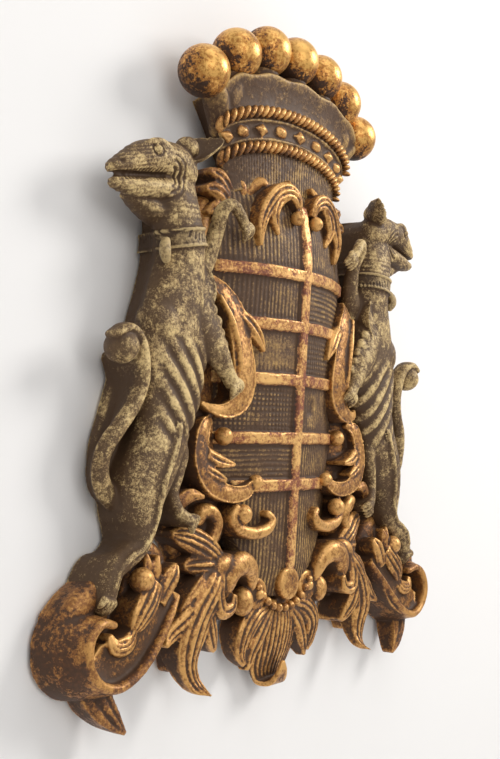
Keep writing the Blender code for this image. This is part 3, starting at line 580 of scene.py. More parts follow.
@dataclass
class Carving:
    """A group of forms fused into one carved piece.

    Attributes:
        name: The piece's name.
        shells: Its forms.
        voxel: Fineness of the skin, in metres.
        keep: Share of the triangles kept.
        cuts: Finer cuts, each a function of sheet places and tags that gives a rise.
        chip: Strength of the hand-cut unevenness, in millimetres.
        soften: Rounds of smoothing where forms meet, before the cuts.
        crisp: Tags of the small forms that are not smoothed.
        forward: How much more of the coat is left on places that face forwards and stand out from the
            back, and how much more dark ground shows on those turned to the wall or near it: painted
            light and shade.
        seed: Seed of that unevenness.
    """

    name: str
    shells: list[Shell]
    voxel: float = 0.0011
    keep: float = 0.75
    cuts: list[Callable[[np.ndarray, np.ndarray], np.ndarray]] = field(default_factory=list)
    chip: float = 0.22
    soften: int = 1
    crisp: tuple[str, ...] = ()
    forward: float = 0.5
    seed: int = 7

    def fused(self) -> bpy.types.Object:
        """One skin round all forms."""
        points, quads, tris, base = [], [], [], 0
        for shell in self.shells:
            points.append(to_metres(shell.points))
            quads.append(shell.quads + base)
            tris.append(shell.tris + base)
            base += len(shell.points)
        outward = (np.concatenate(faces)[:, ::-1] for faces in (quads, tris))
        piece = new_object(self.name, plain_mesh(self.name, np.concatenate(points), *outward))
        remesh = piece.modifiers.new("fuse", "REMESH")
        remesh.mode = "VOXEL"
        remesh.voxel_size = self.voxel
        applied(piece)
        piece.data = largest_shell(piece.data)
        return piece

    def nearest(self, places: np.ndarray) -> np.ndarray:
        """Index of the form nearest to each place of the sheet."""
        owner = np.concatenate([np.full(len(shell.points), i) for i, shell in enumerate(self.shells)])
        tree = kdtree.KDTree(len(owner))
        for i, point in enumerate(np.concatenate([shell.points for shell in self.shells])):
            tree.insert(point, i)
        tree.balance()
        return owner[[tree.find(place)[1] for place in places]]

    def softened(self, mesh: bpy.types.Mesh, edges: np.ndarray, tags: np.ndarray) -> np.ndarray:
        """Smooth the joins of the forms, all but the crisp ones.

        Args:
            mesh: The fused skin.
            edges: Its corner pairs.
            tags: What form each corner belongs to.

        Returns:
            The corners, in metres.
        """
        metres = corners(mesh)
        soft = 1.0 - relaxed(np.isin(tags, self.crisp).astype(float), edges, 2)
        metres = metres + (relaxed(metres, edges, self.soften) - metres) * soft[:, None]
        set_corners(mesh, metres)
        return metres

    def rise(self, places: np.ndarray, tags: np.ndarray) -> np.ndarray:
        """Rise of each corner by the finer cuts, in millimetres.

        Args:
            places: Corners on the sheet.
            tags: What form each corner belongs to.

        Returns:
            The rise, 0 close to the back.
        """
        noise = Noise(self.seed)
        rise = self.chip * (noise.at(places, 9.0) + 0.6 * noise.at(places, 3.1))
        for cut in self.cuts:
            rise = rise + cut(places, tags)
        rise[places[:, 2] < 1.5] = 0.0
        return rise

    def measure(self, mesh: bpy.types.Mesh, metres: np.ndarray, edges: np.ndarray, rise: np.ndarray,
                depth: np.ndarray) -> None:
        """Let the skin carry the relief that the finishes read, and painted shade on faces turned to the
        wall and on places near the back.

        Args:
            mesh: The cut skin.
            metres: Its corners.
            edges: Its corner pairs.
            rise: How far the cuts moved each corner, in millimetres.
            depth: How far each corner stood from the back before them.
        """
        normals = corner_normals(mesh)
        near = relaxed(metres, edges, FINE_ROUNDS)
        wide = relaxed(near, edges, BROAD_ROUNDS)
        fine = np.einsum("ij,ij->i", metres - near, normals) / MILLIMETRE + 0.14 * np.minimum(rise, 0.0)
        broad = np.einsum("ij,ij->i", near - wide, normals) / MILLIMETRE
        # Painted shade: faces turned towards the wall and places less than about 30 mm out from the back
        # lose coat and show dark ground, while faces turned to the room and places further out keep more
        # coat.
        front = 0.6 * np.clip((depth - 30.0) / 20.0, -1.0, 1.0) + 0.8 * (-normals[:, 1] - 0.45)
        carry(mesh, "fine", fine)
        carry(mesh, "broad", np.clip(broad, -1.6, 1.6) + self.forward * 2.0 * front)

    def dress(self, mesh: bpy.types.Mesh, owner: np.ndarray, finishes: Finishes) -> None:
        """Give each face the finish of the form that its first corner belongs to."""
        zones = list(dict.fromkeys(shell.zone for shell in self.shells))
        for zone in zones:
            mesh.materials.append(finishes[zone])
        number = np.array([zones.index(shell.zone) for shell in self.shells])[owner]
        loops = np.empty(len(mesh.loops), dtype=np.int32)
        mesh.loops.foreach_get("vertex_index", loops)
        first = loops.reshape(-1, 4)[:, 0]
        mesh.polygons.foreach_set("material_index", number[first].astype(np.int32))

    def build(self, finishes: Finishes) -> bpy.types.Object:
        """Fuse, cut, measure, dress and thin the piece.

        Args:
            finishes: The material of each zone.

        Returns:
            The finished piece.
        """
        piece = self.fused()
        mesh = piece.data
        edges = edge_pairs(mesh)
        owner = self.nearest(to_sheet(corners(mesh)))
        tags = np.array([shell.tag for shell in self.shells])[owner]
        metres = self.softened(mesh, edges, tags)
        places = to_sheet(metres)
        rise = self.rise(places, tags)
        metres = metres + corner_normals(mesh) * (rise * MILLIMETRE)[:, None]
        metres[:, 1] = np.where(metres[:, 1] > -FLAT_BACK, 0.0, metres[:, 1])
        metres = np.clip(metres, np.array(CAD_LOW), np.array(CAD_HIGH))
        set_corners(mesh, metres)
        self.measure(mesh, metres, edges, rise, places[:, 2])
        self.dress(mesh, owner, finishes)
        return report(thinned(piece, self.keep))


def thinned(piece: bpy.types.Object, share: float) -> bpy.types.Object:
    """Keep the share of the triangles that the form needs most, shaded smooth."""
    thin = piece.modifiers.new("thin", "DECIMATE")
    thin.ratio = share
    applied(piece)
    piece.data.shade_smooth()
    return piece


def report(piece: bpy.types.Object) -> bpy.types.Object:
    """Fix a finished piece to the part and log it."""
    triangles = sum(len(face.vertices) - 2 for face in piece.data.polygons)
    LOG.info("%s: %d triangles", piece.name, triangles)
    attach(piece, "root")
    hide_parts(NODE)
    return piece


def shield_front(x: np.ndarray, z: np.ndarray) -> np.ndarray:
    """Distance of the shield's domed face from the back."""
    heights = [96.0, 126.0, 430.0, 455.0, 480.0, 500.0, 512.0]
    depths = [31.0, 37.8, 61.0, 60.0, 56.0, 51.0, 48.0]
    return np.interp(z, heights, depths) - 0.0024 * np.asarray(x) ** 2


def crown_place(turn: float, level: float) -> Place:
    """Point on the coronet's front.

    Args:
        turn: From -1 to 1 across the front, and CROWN_SIDE further along each side to the wall.
        level: From 0 at its foot to 1 at its lip.

    Returns:
        The place on the sheet.
    """
    angle = CROWN_SPREAD * max(-1.0, min(1.0, turn))
    reach = 97.0 + 31.0 * max(level, 0.0) ** 1.6
    arch = 21.0 + 17.0 * level
    x = reach * math.sin(angle) / math.sin(CROWN_SPREAD)
    z = 504.0 + 107.0 * level - arch * (1.0 - math.cos(angle))
    d = 50.0 + 12.0 * level**2 - (28.0 - 10.0 * level**2) * (1.0 - math.cos(angle))
    past = min(max(abs(turn) - 1.0, 0.0) / CROWN_SIDE, 1.0)
    inward = (0.14 + 0.36 * (1.0 - min(level, 1.0))) * past
    return x * (1.0 - inward), z - 3.0 * past, d * (1.0 - past)


def ball_place(number: int) -> Place:
    """Centre of one of the coronet's balls, numbered from -3 to 3 across it."""
    away = abs(number)
    x = math.copysign(50.6 * away - 1.5 * away**2, number) if number else 0.0
    return x, 644.0 + 2.6 * away - 6.0 * away**2, 47.6 - 1.2 * away**2


@dataclass
class Coronet:
    """Flared coronet: reeded foot, studded band between two ropes, and scooped lip with seven balls.

    Attributes:
        reeds: Number of reeds round the foot.
        reed_cut: Depth between the reeds.
        studs: Number of studs on the band.
        rope_radius: Half thickness of the ropes.
        rope_pitch: Length of one strand along a rope.
        strand_stretch: Depth, width and length of a strand for each unit of rope thickness.
        rope_levels: Levels of the two ropes.
        band_level: Level of the studs.
        back_half_widths: Half widths on the wall, at the lip and at the foot.
    """

    reeds: int = 62
    reed_cut: float = 1.4
    studs: int = 9
    rope_radius: float = 5.6
    rope_pitch: float = 8.2
    strand_stretch: tuple[float, float, float] = (0.58, 0.95, 1.50)
    rope_levels: tuple[float, float] = (0.39, 0.71)
    band_level: float = 0.55
    back_half_widths: tuple[float, float] = (79.0, 47.0)

    def profile(self, level: float, turn: float) -> float:
        """How proud the turned mouldings stand at a level."""
        low, high = self.rope_levels
        rise = 0.0
        for middle in (low + 0.075, high - 0.075):
            rise += 1.7 * math.exp(-(((level - middle) / 0.011) ** 2))
        rise -= 1.0 * max(0.0, 1.0 - ((level - self.band_level) / 0.075) ** 4)
        if level < low - 0.05:
            rise -= self.reed_cut * (0.5 + 0.5 * math.cos(math.pi * self.reeds * turn)) ** 2
        if level > high:
            rise -= 2.6 * math.sin(math.pi * min((level - high) / 0.27, 1.0))
        return rise

    def body(self) -> Shell:
        """The flared wall with its mouldings."""
        levels = np.concatenate([np.linspace(0.0, 0.33, 12), np.linspace(0.335, 1.0, 70)])
        end = 1.0 + CROWN_SIDE
        lip_back, foot_back = self.back_half_widths
        rings = []
        for turn in np.linspace(-end, end, 520):
            scoop = math.sin(3.0 * math.pi * turn) ** 2 if abs(turn) < 1.0 else 0.0
            aside = math.copysign(min(max(abs(turn) - 0.8, 0.0) / 0.3, 1.0), turn)
            ring = []
            for level in levels:
                x, z, d = crown_place(turn, level)
                high = max(level - 0.8, 0.0) / 0.2
                proud = self.profile(level, turn)
                depth = max(d + proud * (1.0 - abs(aside)), 0.0)
                ring.append((x + proud * aside, z + high**1.5 * (6.0 - 3.0 * scoop), depth))
            lip = ring[-1]
            ring.append((lip[0] * 0.985, lip[1] + 1.5, lip[2] * 0.96))
            ring.append((lip[0] * 0.96, lip[1] + 0.5, lip[2] * 0.88))
            ring.append((np.clip(lip[0] * 0.84, -lip_back, lip_back), lip[1] - 8.0, 0.0))
            ring.append((np.clip(ring[0][0] * 0.94, -foot_back, foot_back), ring[0][1], 0.0))
            rings.append(ring)
        return skin(np.array(rings), Zone.UMBER, "crown")

    def necks(self) -> list[Shell]:
        """Short necks that carry the balls."""
        shells = []
        for number in range(-3, 4):
            x, z, d = ball_place(number)
            inward = 0.88 if abs(number) == 3 else 0.98
            foot = crown_place(number / 3.0, 0.93)
            slim = 0.72 if abs(number) == 3 else 1.0
            rows = [(foot[0] * inward * 0.95, foot[1] - 22.0, d - 9.0, 13.0 * slim, 9.0),
                    (foot[0] * inward, foot[1] - 4.0, d - 6.0, 17.0 * slim, 13.0),
                    (x * inward, z - BALL_RADIUS * 0.62, d - 1.0, 14.0 * slim, 13.0)]
            shells.append(limb(rows, Zone.UMBER, tag="neck"))
        return shells

    def balls(self, finish: bpy.types.Material) -> bpy.types.Object:
        """The seven turned balls, from a node tree that sets a ball on each place."""
        tree = NodeTree("turned_balls")
        radius = tree.number("Radius", BALL_RADIUS * MILLIMETRE)
        sphere = tree.add("GeometryNodeMeshUVSphere", {"Segments": 64, "Rings": 40})
        tree.link(radius, sphere.inputs["Radius"])
        placed = tree.on_points(sphere.outputs["Mesh"])
        points = np.array([ball_place(number) for number in range(-3, 4)])
        return tree.piece("coronet_balls", to_metres(points), finish, placed)

    def rope_line(self, level: float) -> np.ndarray:
        """Places along one rope, one for each strand."""
        end = 1.0 + CROWN_SIDE * 0.4
        turns = np.linspace(-end, end, 500)
        line = np.array([crown_place(turn, level) for turn in turns]) + np.array([0.0, 0.0, 1.6])
        along = np.concatenate([[0.0], np.cumsum(np.linalg.norm(np.diff(line, axis=0), axis=1))])
        count = int(along[-1] / self.rope_pitch)
        steps = np.linspace(0.0, along[-1], count)
        return np.stack([np.interp(steps, along, line[:, k]) for k in range(3)], axis=1)

    def ropes(self, finish: bpy.types.Material) -> bpy.types.Object:
        """Both twisted ropes: a slanted strand on each place of their lines."""
        tree = NodeTree("twisted_rope")
        radius = tree.number("Radius", self.rope_radius * MILLIMETRE)
        strand = tree.add("GeometryNodeMeshUVSphere", {"Segments": 20, "Rings": 12})
        tree.link(radius, strand.inputs["Radius"])
        placed = tree.on_points(strand.outputs["Mesh"], turn="turn", stretch="stretch")
        places, turns = [], []
        for level in self.rope_levels:
            line = self.rope_line(level)
            metres = to_metres(line)
            along = np.gradient(metres, axis=0)
            for place, way in zip(metres, along):
                heading = Vector(way).normalized()
                up = (Vector((0.0, 0.0, 1.0)) - heading * heading.z).normalized()
                slant = (heading * 0.72 + up * 0.70).normalized()
                front = heading.cross(up).normalized()
                third = slant.cross(front).normalized()
                turns.append(euler_turn(np.array([third, front, slant]).T))
                places.append(place)
        stretches = np.tile(self.strand_stretch, (len(places), 1))
        return tree.piece("coronet_ropes", np.array(places), finish, placed, turn=np.array(turns),
                          stretch=stretches)

    def stud_shells(self) -> list[Shell]:
        """Ovals and four-pointed lozenges by turns along the band."""
        shells = []
        half = self.studs // 2
        for number in range(-half, half + 1):
            turn = number / (half + 0.7)
            x, z, d = crown_place(turn, self.band_level)
            if number % 2:
                shells.append(stud(x, z, d - 1.5, 8.5, 5.6, 5.5, 0.8))
            else:
                shells.append(stud(x, z, d - 1.5, 10.5, 7.0, 5.5, 2.0))
        return shells

    def build(self, finishes: Finishes) -> None:
        """Make the coronet's pieces."""
        shells = [self.body()] + self.necks() + self.stud_shells()
        # forward=0.3 gives the coronet a weaker painted shade on its faces turned to the wall.
        Carving("coronet", shells, keep=0.42, forward=0.3, seed=11).build(finishes)
        report(self.balls(finishes[Zone.BALL]))
        report(self.ropes(finishes[Zone.LEAF]))


def euler_turn(basis: np.ndarray) -> tuple[float, float, float]:
    """Euler turn of a basis whose columns are the turned axes."""
    y = math.asin(max(-1.0, min(1.0, -basis[2, 0])))
    return math.atan2(basis[2, 1], basis[2, 2]), y, math.atan2(basis[1, 0], basis[0, 0])


class NodeTree:
    """Geometry node tree that sets a repeated form on the points of a mesh."""

    def __init__(self, name: str) -> None:
        """Start an empty tree with its input and output."""
        self.group = bpy.data.node_groups.new(name, "GeometryNodeTree")
        self.group.interface.new_socket("Geometry", in_out="INPUT", socket_type="NodeSocketGeometry")
        self.group.interface.new_socket("Geometry", in_out="OUTPUT", socket_type="NodeSocketGeometry")
        self.start = self.group.nodes.new("NodeGroupInput")
        self.values: dict[str, float] = {}

    def add(self, kind: str, values: Optional[dict[str, object]] = None) -> bpy.types.Node:
        """Add a node with values on its inputs."""
        node = self.group.nodes.new(kind)
        for key, value in (values or {}).items():
            node.inputs[key].default_value = value
        return node

    def link(self, source: bpy.types.NodeSocket, target: bpy.types.NodeSocket) -> None:
        """Join two sockets."""
        self.group.links.new(source, target)

    def number(self, name: str, value: float) -> bpy.types.NodeSocket:
        """Named number input of the tree."""
        self.group.interface.new_socket(name, in_out="INPUT", socket_type="NodeSocketFloat")
        self.values[name] = value
        return self.start.outputs[name]

    def field(self, name: str) -> bpy.types.NodeSocket:
        """Vector that the points carry under a name."""
        node = self.add("GeometryNodeInputNamedAttribute")
        node.data_type = "FLOAT_VECTOR"
        node.inputs["Name"].default_value = name
        return node.outputs["Attribute"]

    def on_points(self, form: bpy.types.NodeSocket, turn: str = "",
                  stretch: str = "") -> bpy.types.NodeSocket:
        """Set a form on each point, turned and stretched by what the points carry."""
        points = self.add("GeometryNodeMeshToPoints")
        self.link(self.start.outputs["Geometry"], points.inputs["Mesh"])
        placed = self.add("GeometryNodeInstanceOnPoints")
        self.link(points.outputs["Points"], placed.inputs["Points"])
        self.link(form, placed.inputs["Instance"])
        if turn:
            angles = self.add("FunctionNodeEulerToRotation")
            self.link(self.field(turn), angles.inputs["Euler"])
            self.link(angles.outputs["Rotation"], placed.inputs["Rotation"])
        if stretch:
            self.link(self.field(stretch), placed.inputs["Scale"])
        return placed.outputs["Instances"]

    def piece(self, name: str, points: np.ndarray, finish: bpy.types.Material,
              placed: bpy.types.NodeSocket, **carried: np.ndarray) -> bpy.types.Object:
        """Run the tree on points and keep the result as a plain mesh.

        Args:
            name: The piece's name.
            points: Places, in metres.
            finish: Its material.
            placed: The instances to show.
            **carried: Vectors that the points carry.

        Returns:
            The piece.
        """
        real = self.add("GeometryNodeRealizeInstances")
        paint = self.add("GeometryNodeSetMaterial", {"Material": finish})
        end = self.group.nodes.new("NodeGroupOutput")
        self.link(placed, real.inputs["Geometry"])
        self.link(real.outputs["Geometry"], paint.inputs["Geometry"])
        self.link(paint.outputs["Geometry"], end.inputs["Geometry"])
        mesh = bpy.data.meshes.new(name)
        mesh.from_pydata(points.tolist(), [], [])
        for key, values in carried.items():
            layer = mesh.attributes.new(key, "FLOAT_VECTOR", "POINT")
            layer.data.foreach_set("vector", values.astype(np.float32).ravel())
        piece = new_object(name, mesh)
        modifier = piece.modifiers.new(name, "NODES")
        modifier.node_group = self.group
        for item in self.group.interface.items_tree:
            if item.in_out == "INPUT" and item.name in self.values:
                modifier[item.identifier] = self.values[item.name]
        applied(piece)
        set_corners(piece.data, np.clip(corners(piece.data), np.array(CAD_LOW), np.array(CAD_HIGH)))
        piece.data.shade_smooth()
        # Fine relief, and painted light and shade that follows the direction of the key light.
        relief_of(piece.data)
        return piece


def relief_of(mesh: bpy.types.Mesh) -> None:
    """Give a plain mesh the relief values that the finishes read; its broad value is painted light and
    shade, high on faces turned up, right and forwards towards the key light and low on faces turned away.
    """
    points = corners(mesh)
    edges = edge_pairs(mesh)
    normals = corner_normals(mesh)
    near = relaxed(points, edges, 4)
    carry(mesh, "fine", np.einsum("ij,ij->i", points - near, normals) / MILLIMETRE)
    # Painted light and shade: faces turned up, right and forwards, towards the key light, keep more
    # bright coat, and faces turned away show dark ground.
    carry(mesh, "broad", np.clip(normals @ np.array([0.8, -0.7, 0.9]) + 0.1, -1.4, 1.2))


@dataclass
class ShieldPanel:
    """Domed shield with a lattice of gilt bars over hatched fields.

    Attributes:
        low: Height of its lower end.
        high: Height of its upper end.
        bar_heights: Heights of the cross bars.
        bar_width: Width of a bar.
        bar_rise: How proud the bars stand.
        pitch: Spacing of the hatching.
        cut: Depth of the hatching.
        step: Fineness of the face, in millimetres.
        keep: Share of the triangles kept.
    """

    low: float = 96.0
    high: float = 512.0
    bar_heights: tuple[float, ...] = (418.0, 366.0, 312.0, 254.0, 207.0)
    bar_width: float = 11.6
    bar_rise: float = 4.0
    pitch: float = 5.0
    cut: float = 0.75
    step: float = 1.05
    keep: float = 0.5

    @staticmethod
    def edge(z: np.ndarray) -> np.ndarray:
        """Half width of the shield at a height."""
        heights = [96.0, 130.0, 170.0, 220.0, 300.0, 380.0, 430.0, 470.0, 500.0, 512.0]
        halves = [22.0, 58.0, 88.0, 106.0, 114.0, 118.0, 116.0, 106.0, 90.0, 70.0]
        return np.interp(z, heights, halves)

    def bars(self, x: np.ndarray, z: np.ndarray, noise: Noise) -> np.ndarray:
        """How much of a bar covers each place, from 0 to 1."""
        places = np.stack([x, z, 0.0 * x], axis=-1).reshape(-1, 3)
        wander = (0.3 * noise.at(places, 14.0) + 0.15 * noise.at(places, 4.0)).reshape(x.shape)
        edge = self.bar_width / 2 - wander
        cover = 1.0 / (1.0 + np.exp((np.abs(x) - edge) / 0.28))
        for height in self.bar_heights:
            inside = np.abs(x) < (84.0 if height < 210 else 112.0)
            cover = np.maximum(cover, inside / (1.0 + np.exp((np.abs(z - height) - edge) / 0.28)))
        return cover * (z < 490.0) * (z > 122.0)

    def hatching(self, x: np.ndarray, z: np.ndarray, noise: Noise) -> np.ndarray:
        """Depth of the cut lines at each place."""
        places = np.stack([x, z, 0.0 * x], axis=-1).reshape(-1, 3)
        bend = 0.9 * noise.at(places * np.array([1.0, 0.25, 1.0]), 11.0).reshape(x.shape)
        bend2 = 0.9 * noise.at(places * np.array([0.25, 1.0, 1.0]), 11.0).reshape(x.shape)
        fade = np.clip(0.75 + 0.5 * noise.at(places, 17.0).reshape(x.shape), 0.15, 1.0)
        upright = (0.5 + 0.5 * np.cos(2 * np.pi * (x + bend) / self.pitch)) ** 2.2
        level = (0.5 + 0.5 * np.cos(2 * np.pi * (z + bend2) / self.pitch)) ** 2.2
        crossed = np.maximum(upright, level)
        tops = (self.high,) + self.bar_heights + (self.low,)
        plans = {-1: (upright, upright, 0.25 * upright, crossed, level, upright),
                 1: (upright, level, crossed, 0.3 * upright, upright, upright)}
        depth = np.zeros_like(x)
        for side, plan in plans.items():
            for pattern, high, low in zip(plan, tops, tops[1:]):
                here = (np.sign(x + 1e-6) == side) & (z <= high) & (z > low)
                depth = np.where(here, pattern, depth)
        return self.cut * depth * fade

    def build(self, finishes: Finishes) -> None:
        """Make the panel as one closed skin over a fine grid."""
        noise = Noise(3)
        rows = int((self.high - self.low) / self.step)
        columns = int(2 * 118.0 / self.step)
        heights = np.linspace(self.low, self.high, rows)
        share = np.linspace(-1.0, 1.0, columns)
        z = np.repeat(heights[:, None], columns, axis=1)
        x = share[None, :] * self.edge(heights)[:, None]
        cover = self.bars(x, z, noise)
        ground = np.maximum(shield_front(x, z), 12.0)
        places = np.stack([x, z, ground], axis=-1).reshape(-1, 3)
        rough = (0.25 * noise.at(places, 8.0) + 0.15 * noise.at(places, 2.6)).reshape(x.shape)
        chip = np.exp(-(((x - 27.0) / 7.0) ** 4) - (((z - 286.0) / 9.0) ** 4)) * 2.2
        hatch = (1.0 - cover) * self.hatching(x, z, noise)
        face = ground + rough + cover * self.bar_rise - hatch - chip
        bar_edge = 0.8 * np.exp(-(((cover - 0.93) / 0.09) ** 2))
        face = face + bar_edge * (cover > 0.5)
        rings = []
        for i in range(rows):
            ring = np.stack([x[i], z[i], face[i]], axis=1)
            back = np.array([(place, heights[i], 0.0) for place in (x[i, -1], 0.0, x[i, 0])])
            rings.append(np.vstack([ring, back]))
        shell = skin(np.array(rings), Zone.UMBER, "panel")
        outward = (faces[:, ::-1] for faces in (shell.quads, shell.tris))
        mesh = plain_mesh("shield_panel", to_metres(shell.points), *outward)
        around = columns + 3
        broad = np.clip(face - relaxed_grid(face, 9), -2.0, 2.0)
        for name, values in (("fine", 0.28 + bar_edge - hatch), ("broad", broad)):
            carried = np.zeros(len(shell.points))
            carried[: rows * around].reshape(rows, around)[:, :columns] = values
            carry(mesh, name, carried)
        for zone in (Zone.UMBER, Zone.BAR):
            mesh.materials.append(finishes[zone])
        index = np.zeros((rows - 1, around), dtype=np.int32)
        index[:, : columns - 1] = (cover[:-1, :-1] > 0.35) | (cover[1:, 1:] > 0.35)
        full = np.concatenate([index.ravel(), np.zeros(len(shell.tris), dtype=np.int32)])
        mesh.polygons.foreach_set("material_index", full)
        report(thinned(new_object("shield_panel", mesh), self.keep))


def relaxed_grid(values: np.ndarray, rounds: int) -> np.ndarray:
    """Blur a grid of values."""
    now = values.copy()
    for _ in range(rounds):
        padded = np.pad(now, 2, mode="edge")
        beside = padded[:-4, 2:-2] + padded[4:, 2:-2] + padded[2:-2, :-4] + padded[2:-2, 4:]
        now = (beside + padded[2:-2, 2:-2]) / 5.0
    return now


@dataclass
class ScrollFrame:
    """Leaves and scrolls that frame the shield above and at its sides."""

    def top_leaves(self) -> list[Shell]:
        """Acanthus that rolls outwards over the head of the shield."""
        return [
            ball(17.0, 475.0, 62.0, 7.5),
            leaf([(13, 482, 62, 4, 5), (18, 494, 64, 7, 5), (31, 500, 64, 8.5, 5), (48, 495, 62, 9, 5),
                  (62, 480, 59, 8.5, 5), (70, 462, 57, 6.5, 4), (68, 441, 54, 2, 4)], ridges=3),
            leaf([(32, 497, 63, 5, 5), (45, 489, 61, 7, 5), (52, 474, 60, 6.5, 4), (43, 455, 57, 2, 4)],
                 ridges=2),
            limb([(92, 474, 14, 9, 8), (92, 494, 22, 10, 8), (83, 507, 28, 8, 7), (76, 500, 34, 5, 6),
                  (78, 484, 34, 3, 4)], Zone.HUSK, wall=True),
            limb([(70, 474, 30, 8, 7), (66, 497, 36, 8, 7), (55, 506, 44, 6, 6), (48, 496, 46, 3, 4)],
                 Zone.HUSK, wall=True),
            leaf([(84, 488, 30, 8, 5), (104, 503, 33, 9, 5), (119, 509, 30, 3, 4)], ridges=2,
                 zone=Zone.HUSK),
            leaf([(88, 480, 30, 8, 5), (110, 490, 33, 9, 5), (126, 490, 30, 3, 4)], ridges=2,
                 zone=Zone.HUSK),
            leaf([(86, 470, 28, 8, 5), (108, 474, 31, 8, 5), (122, 467, 28, 2, 4)], ridges=2,
                 zone=Zone.HUSK),
            leaf([(30, 500, 60, 5, 5), (24, 508, 58, 4, 5), (20, 514, 55, 1.5, 4)], ridges=1),
        ]

    def side_scrolls(self) -> list[Shell]:
        """Sickle leaf, comma scroll and ribbon at each side."""
        return [
            leaf([(122, 404, 33, 5, 5), (114, 393, 40, 9, 5), (102, 374, 45, 14, 6),
                  (96, 356, 46, 15.5, 6), (92, 338, 47, 16, 6), (88, 318, 47, 17.5, 6),
                  (88, 299, 46, 16, 6), (97, 285, 45, 11, 6), (113, 279, 43, 7, 5), (130, 281, 40, 4, 4),
                  (139, 286, 36, 2, 4)], ridges=1, crown=0.16, groove=0.0, rim=2.2),
            limb([(121, 386, 43, 2, 3), (110, 364, 48, 3.2, 4), (102, 338, 50, 3.4, 4),
                  (99, 318, 50, 2.2, 3)], wall=True),
            leaf([(90, 372, 46, 6, 5), (79, 364, 49, 8, 5), (68, 352, 51, 7, 5), (58, 338, 51, 1.5, 4)],
                 ridges=2),
            leaf([(122, 271, 34, 4, 5), (135, 264, 37, 8, 6), (142, 247, 38, 10, 6),
                  (141, 229, 39, 11.5, 6), (131, 212, 41, 11, 6), (115, 203, 43, 9, 5),
                  (97, 200, 44, 8, 5), (80, 202, 44, 7, 5), (67, 209, 43, 5, 5)], ridges=1, crown=0.22,
                 groove=0.0, rim=2.0),
            ball(64.0, 211.0, 43.0, 7.5),
            ball(102.0, 255.0, 33.0, 9.0),
            leaf([(135, 238, 40, 7, 5), (118, 231, 44, 6, 5), (100, 228, 46, 2, 4)], ridges=2),
            leaf([(137, 224, 41, 6, 5), (122, 217, 44, 5, 5), (112, 214, 45, 2, 4)], ridges=2),
            limb([(92, 187, 41, 4.5, 4), (97, 178, 40, 5, 5), (91, 168, 41, 5.5, 5), (77, 163, 43, 6, 5),
                  (60, 162, 44, 6, 5), (45, 166, 45, 5.5, 5), (39, 174, 45, 4.5, 4),
                  (45, 180, 44, 3.5, 3)], wall=True),
            ball(85.0, 181.0, 43.0, 9.5),
            limb([(128, 350, 14, 26, 14), (126, 300, 14, 26, 14), (124, 250, 14, 24, 14),
                  (118, 200, 14, 22, 14), (110, 160, 14, 24, 14)], Zone.HUSK, wall=True),
            leaf([(172, 186, 30, 6, 5), (164, 196, 35, 7, 5), (153, 201, 38, 6, 5), (139, 199, 40, 2, 4)],
                 ridges=1, zone=Zone.HUSK),
            limb([(134, 178, 28, 6, 6), (131, 186, 33, 7, 6), (121, 183, 35, 6.5, 6),
                  (115, 173, 35, 6, 6), (121, 157, 32, 6, 6)], Zone.LEAF, wall=True),
            limb([(146, 196, 8, 20, 10), (140, 170, 8, 22, 10), (132, 150, 8, 20, 10)], Zone.HUSK,
                 wall=True),
        ]

    def build(self, finishes: Finishes) -> None:
        """Make the frame's pieces."""
        Carving("head_acanthus", both(self.top_leaves()), keep=0.5, seed=5).build(finishes)
        Carving("side_scrolls", both(self.side_scrolls()), keep=0.4, seed=6).build(finishes)


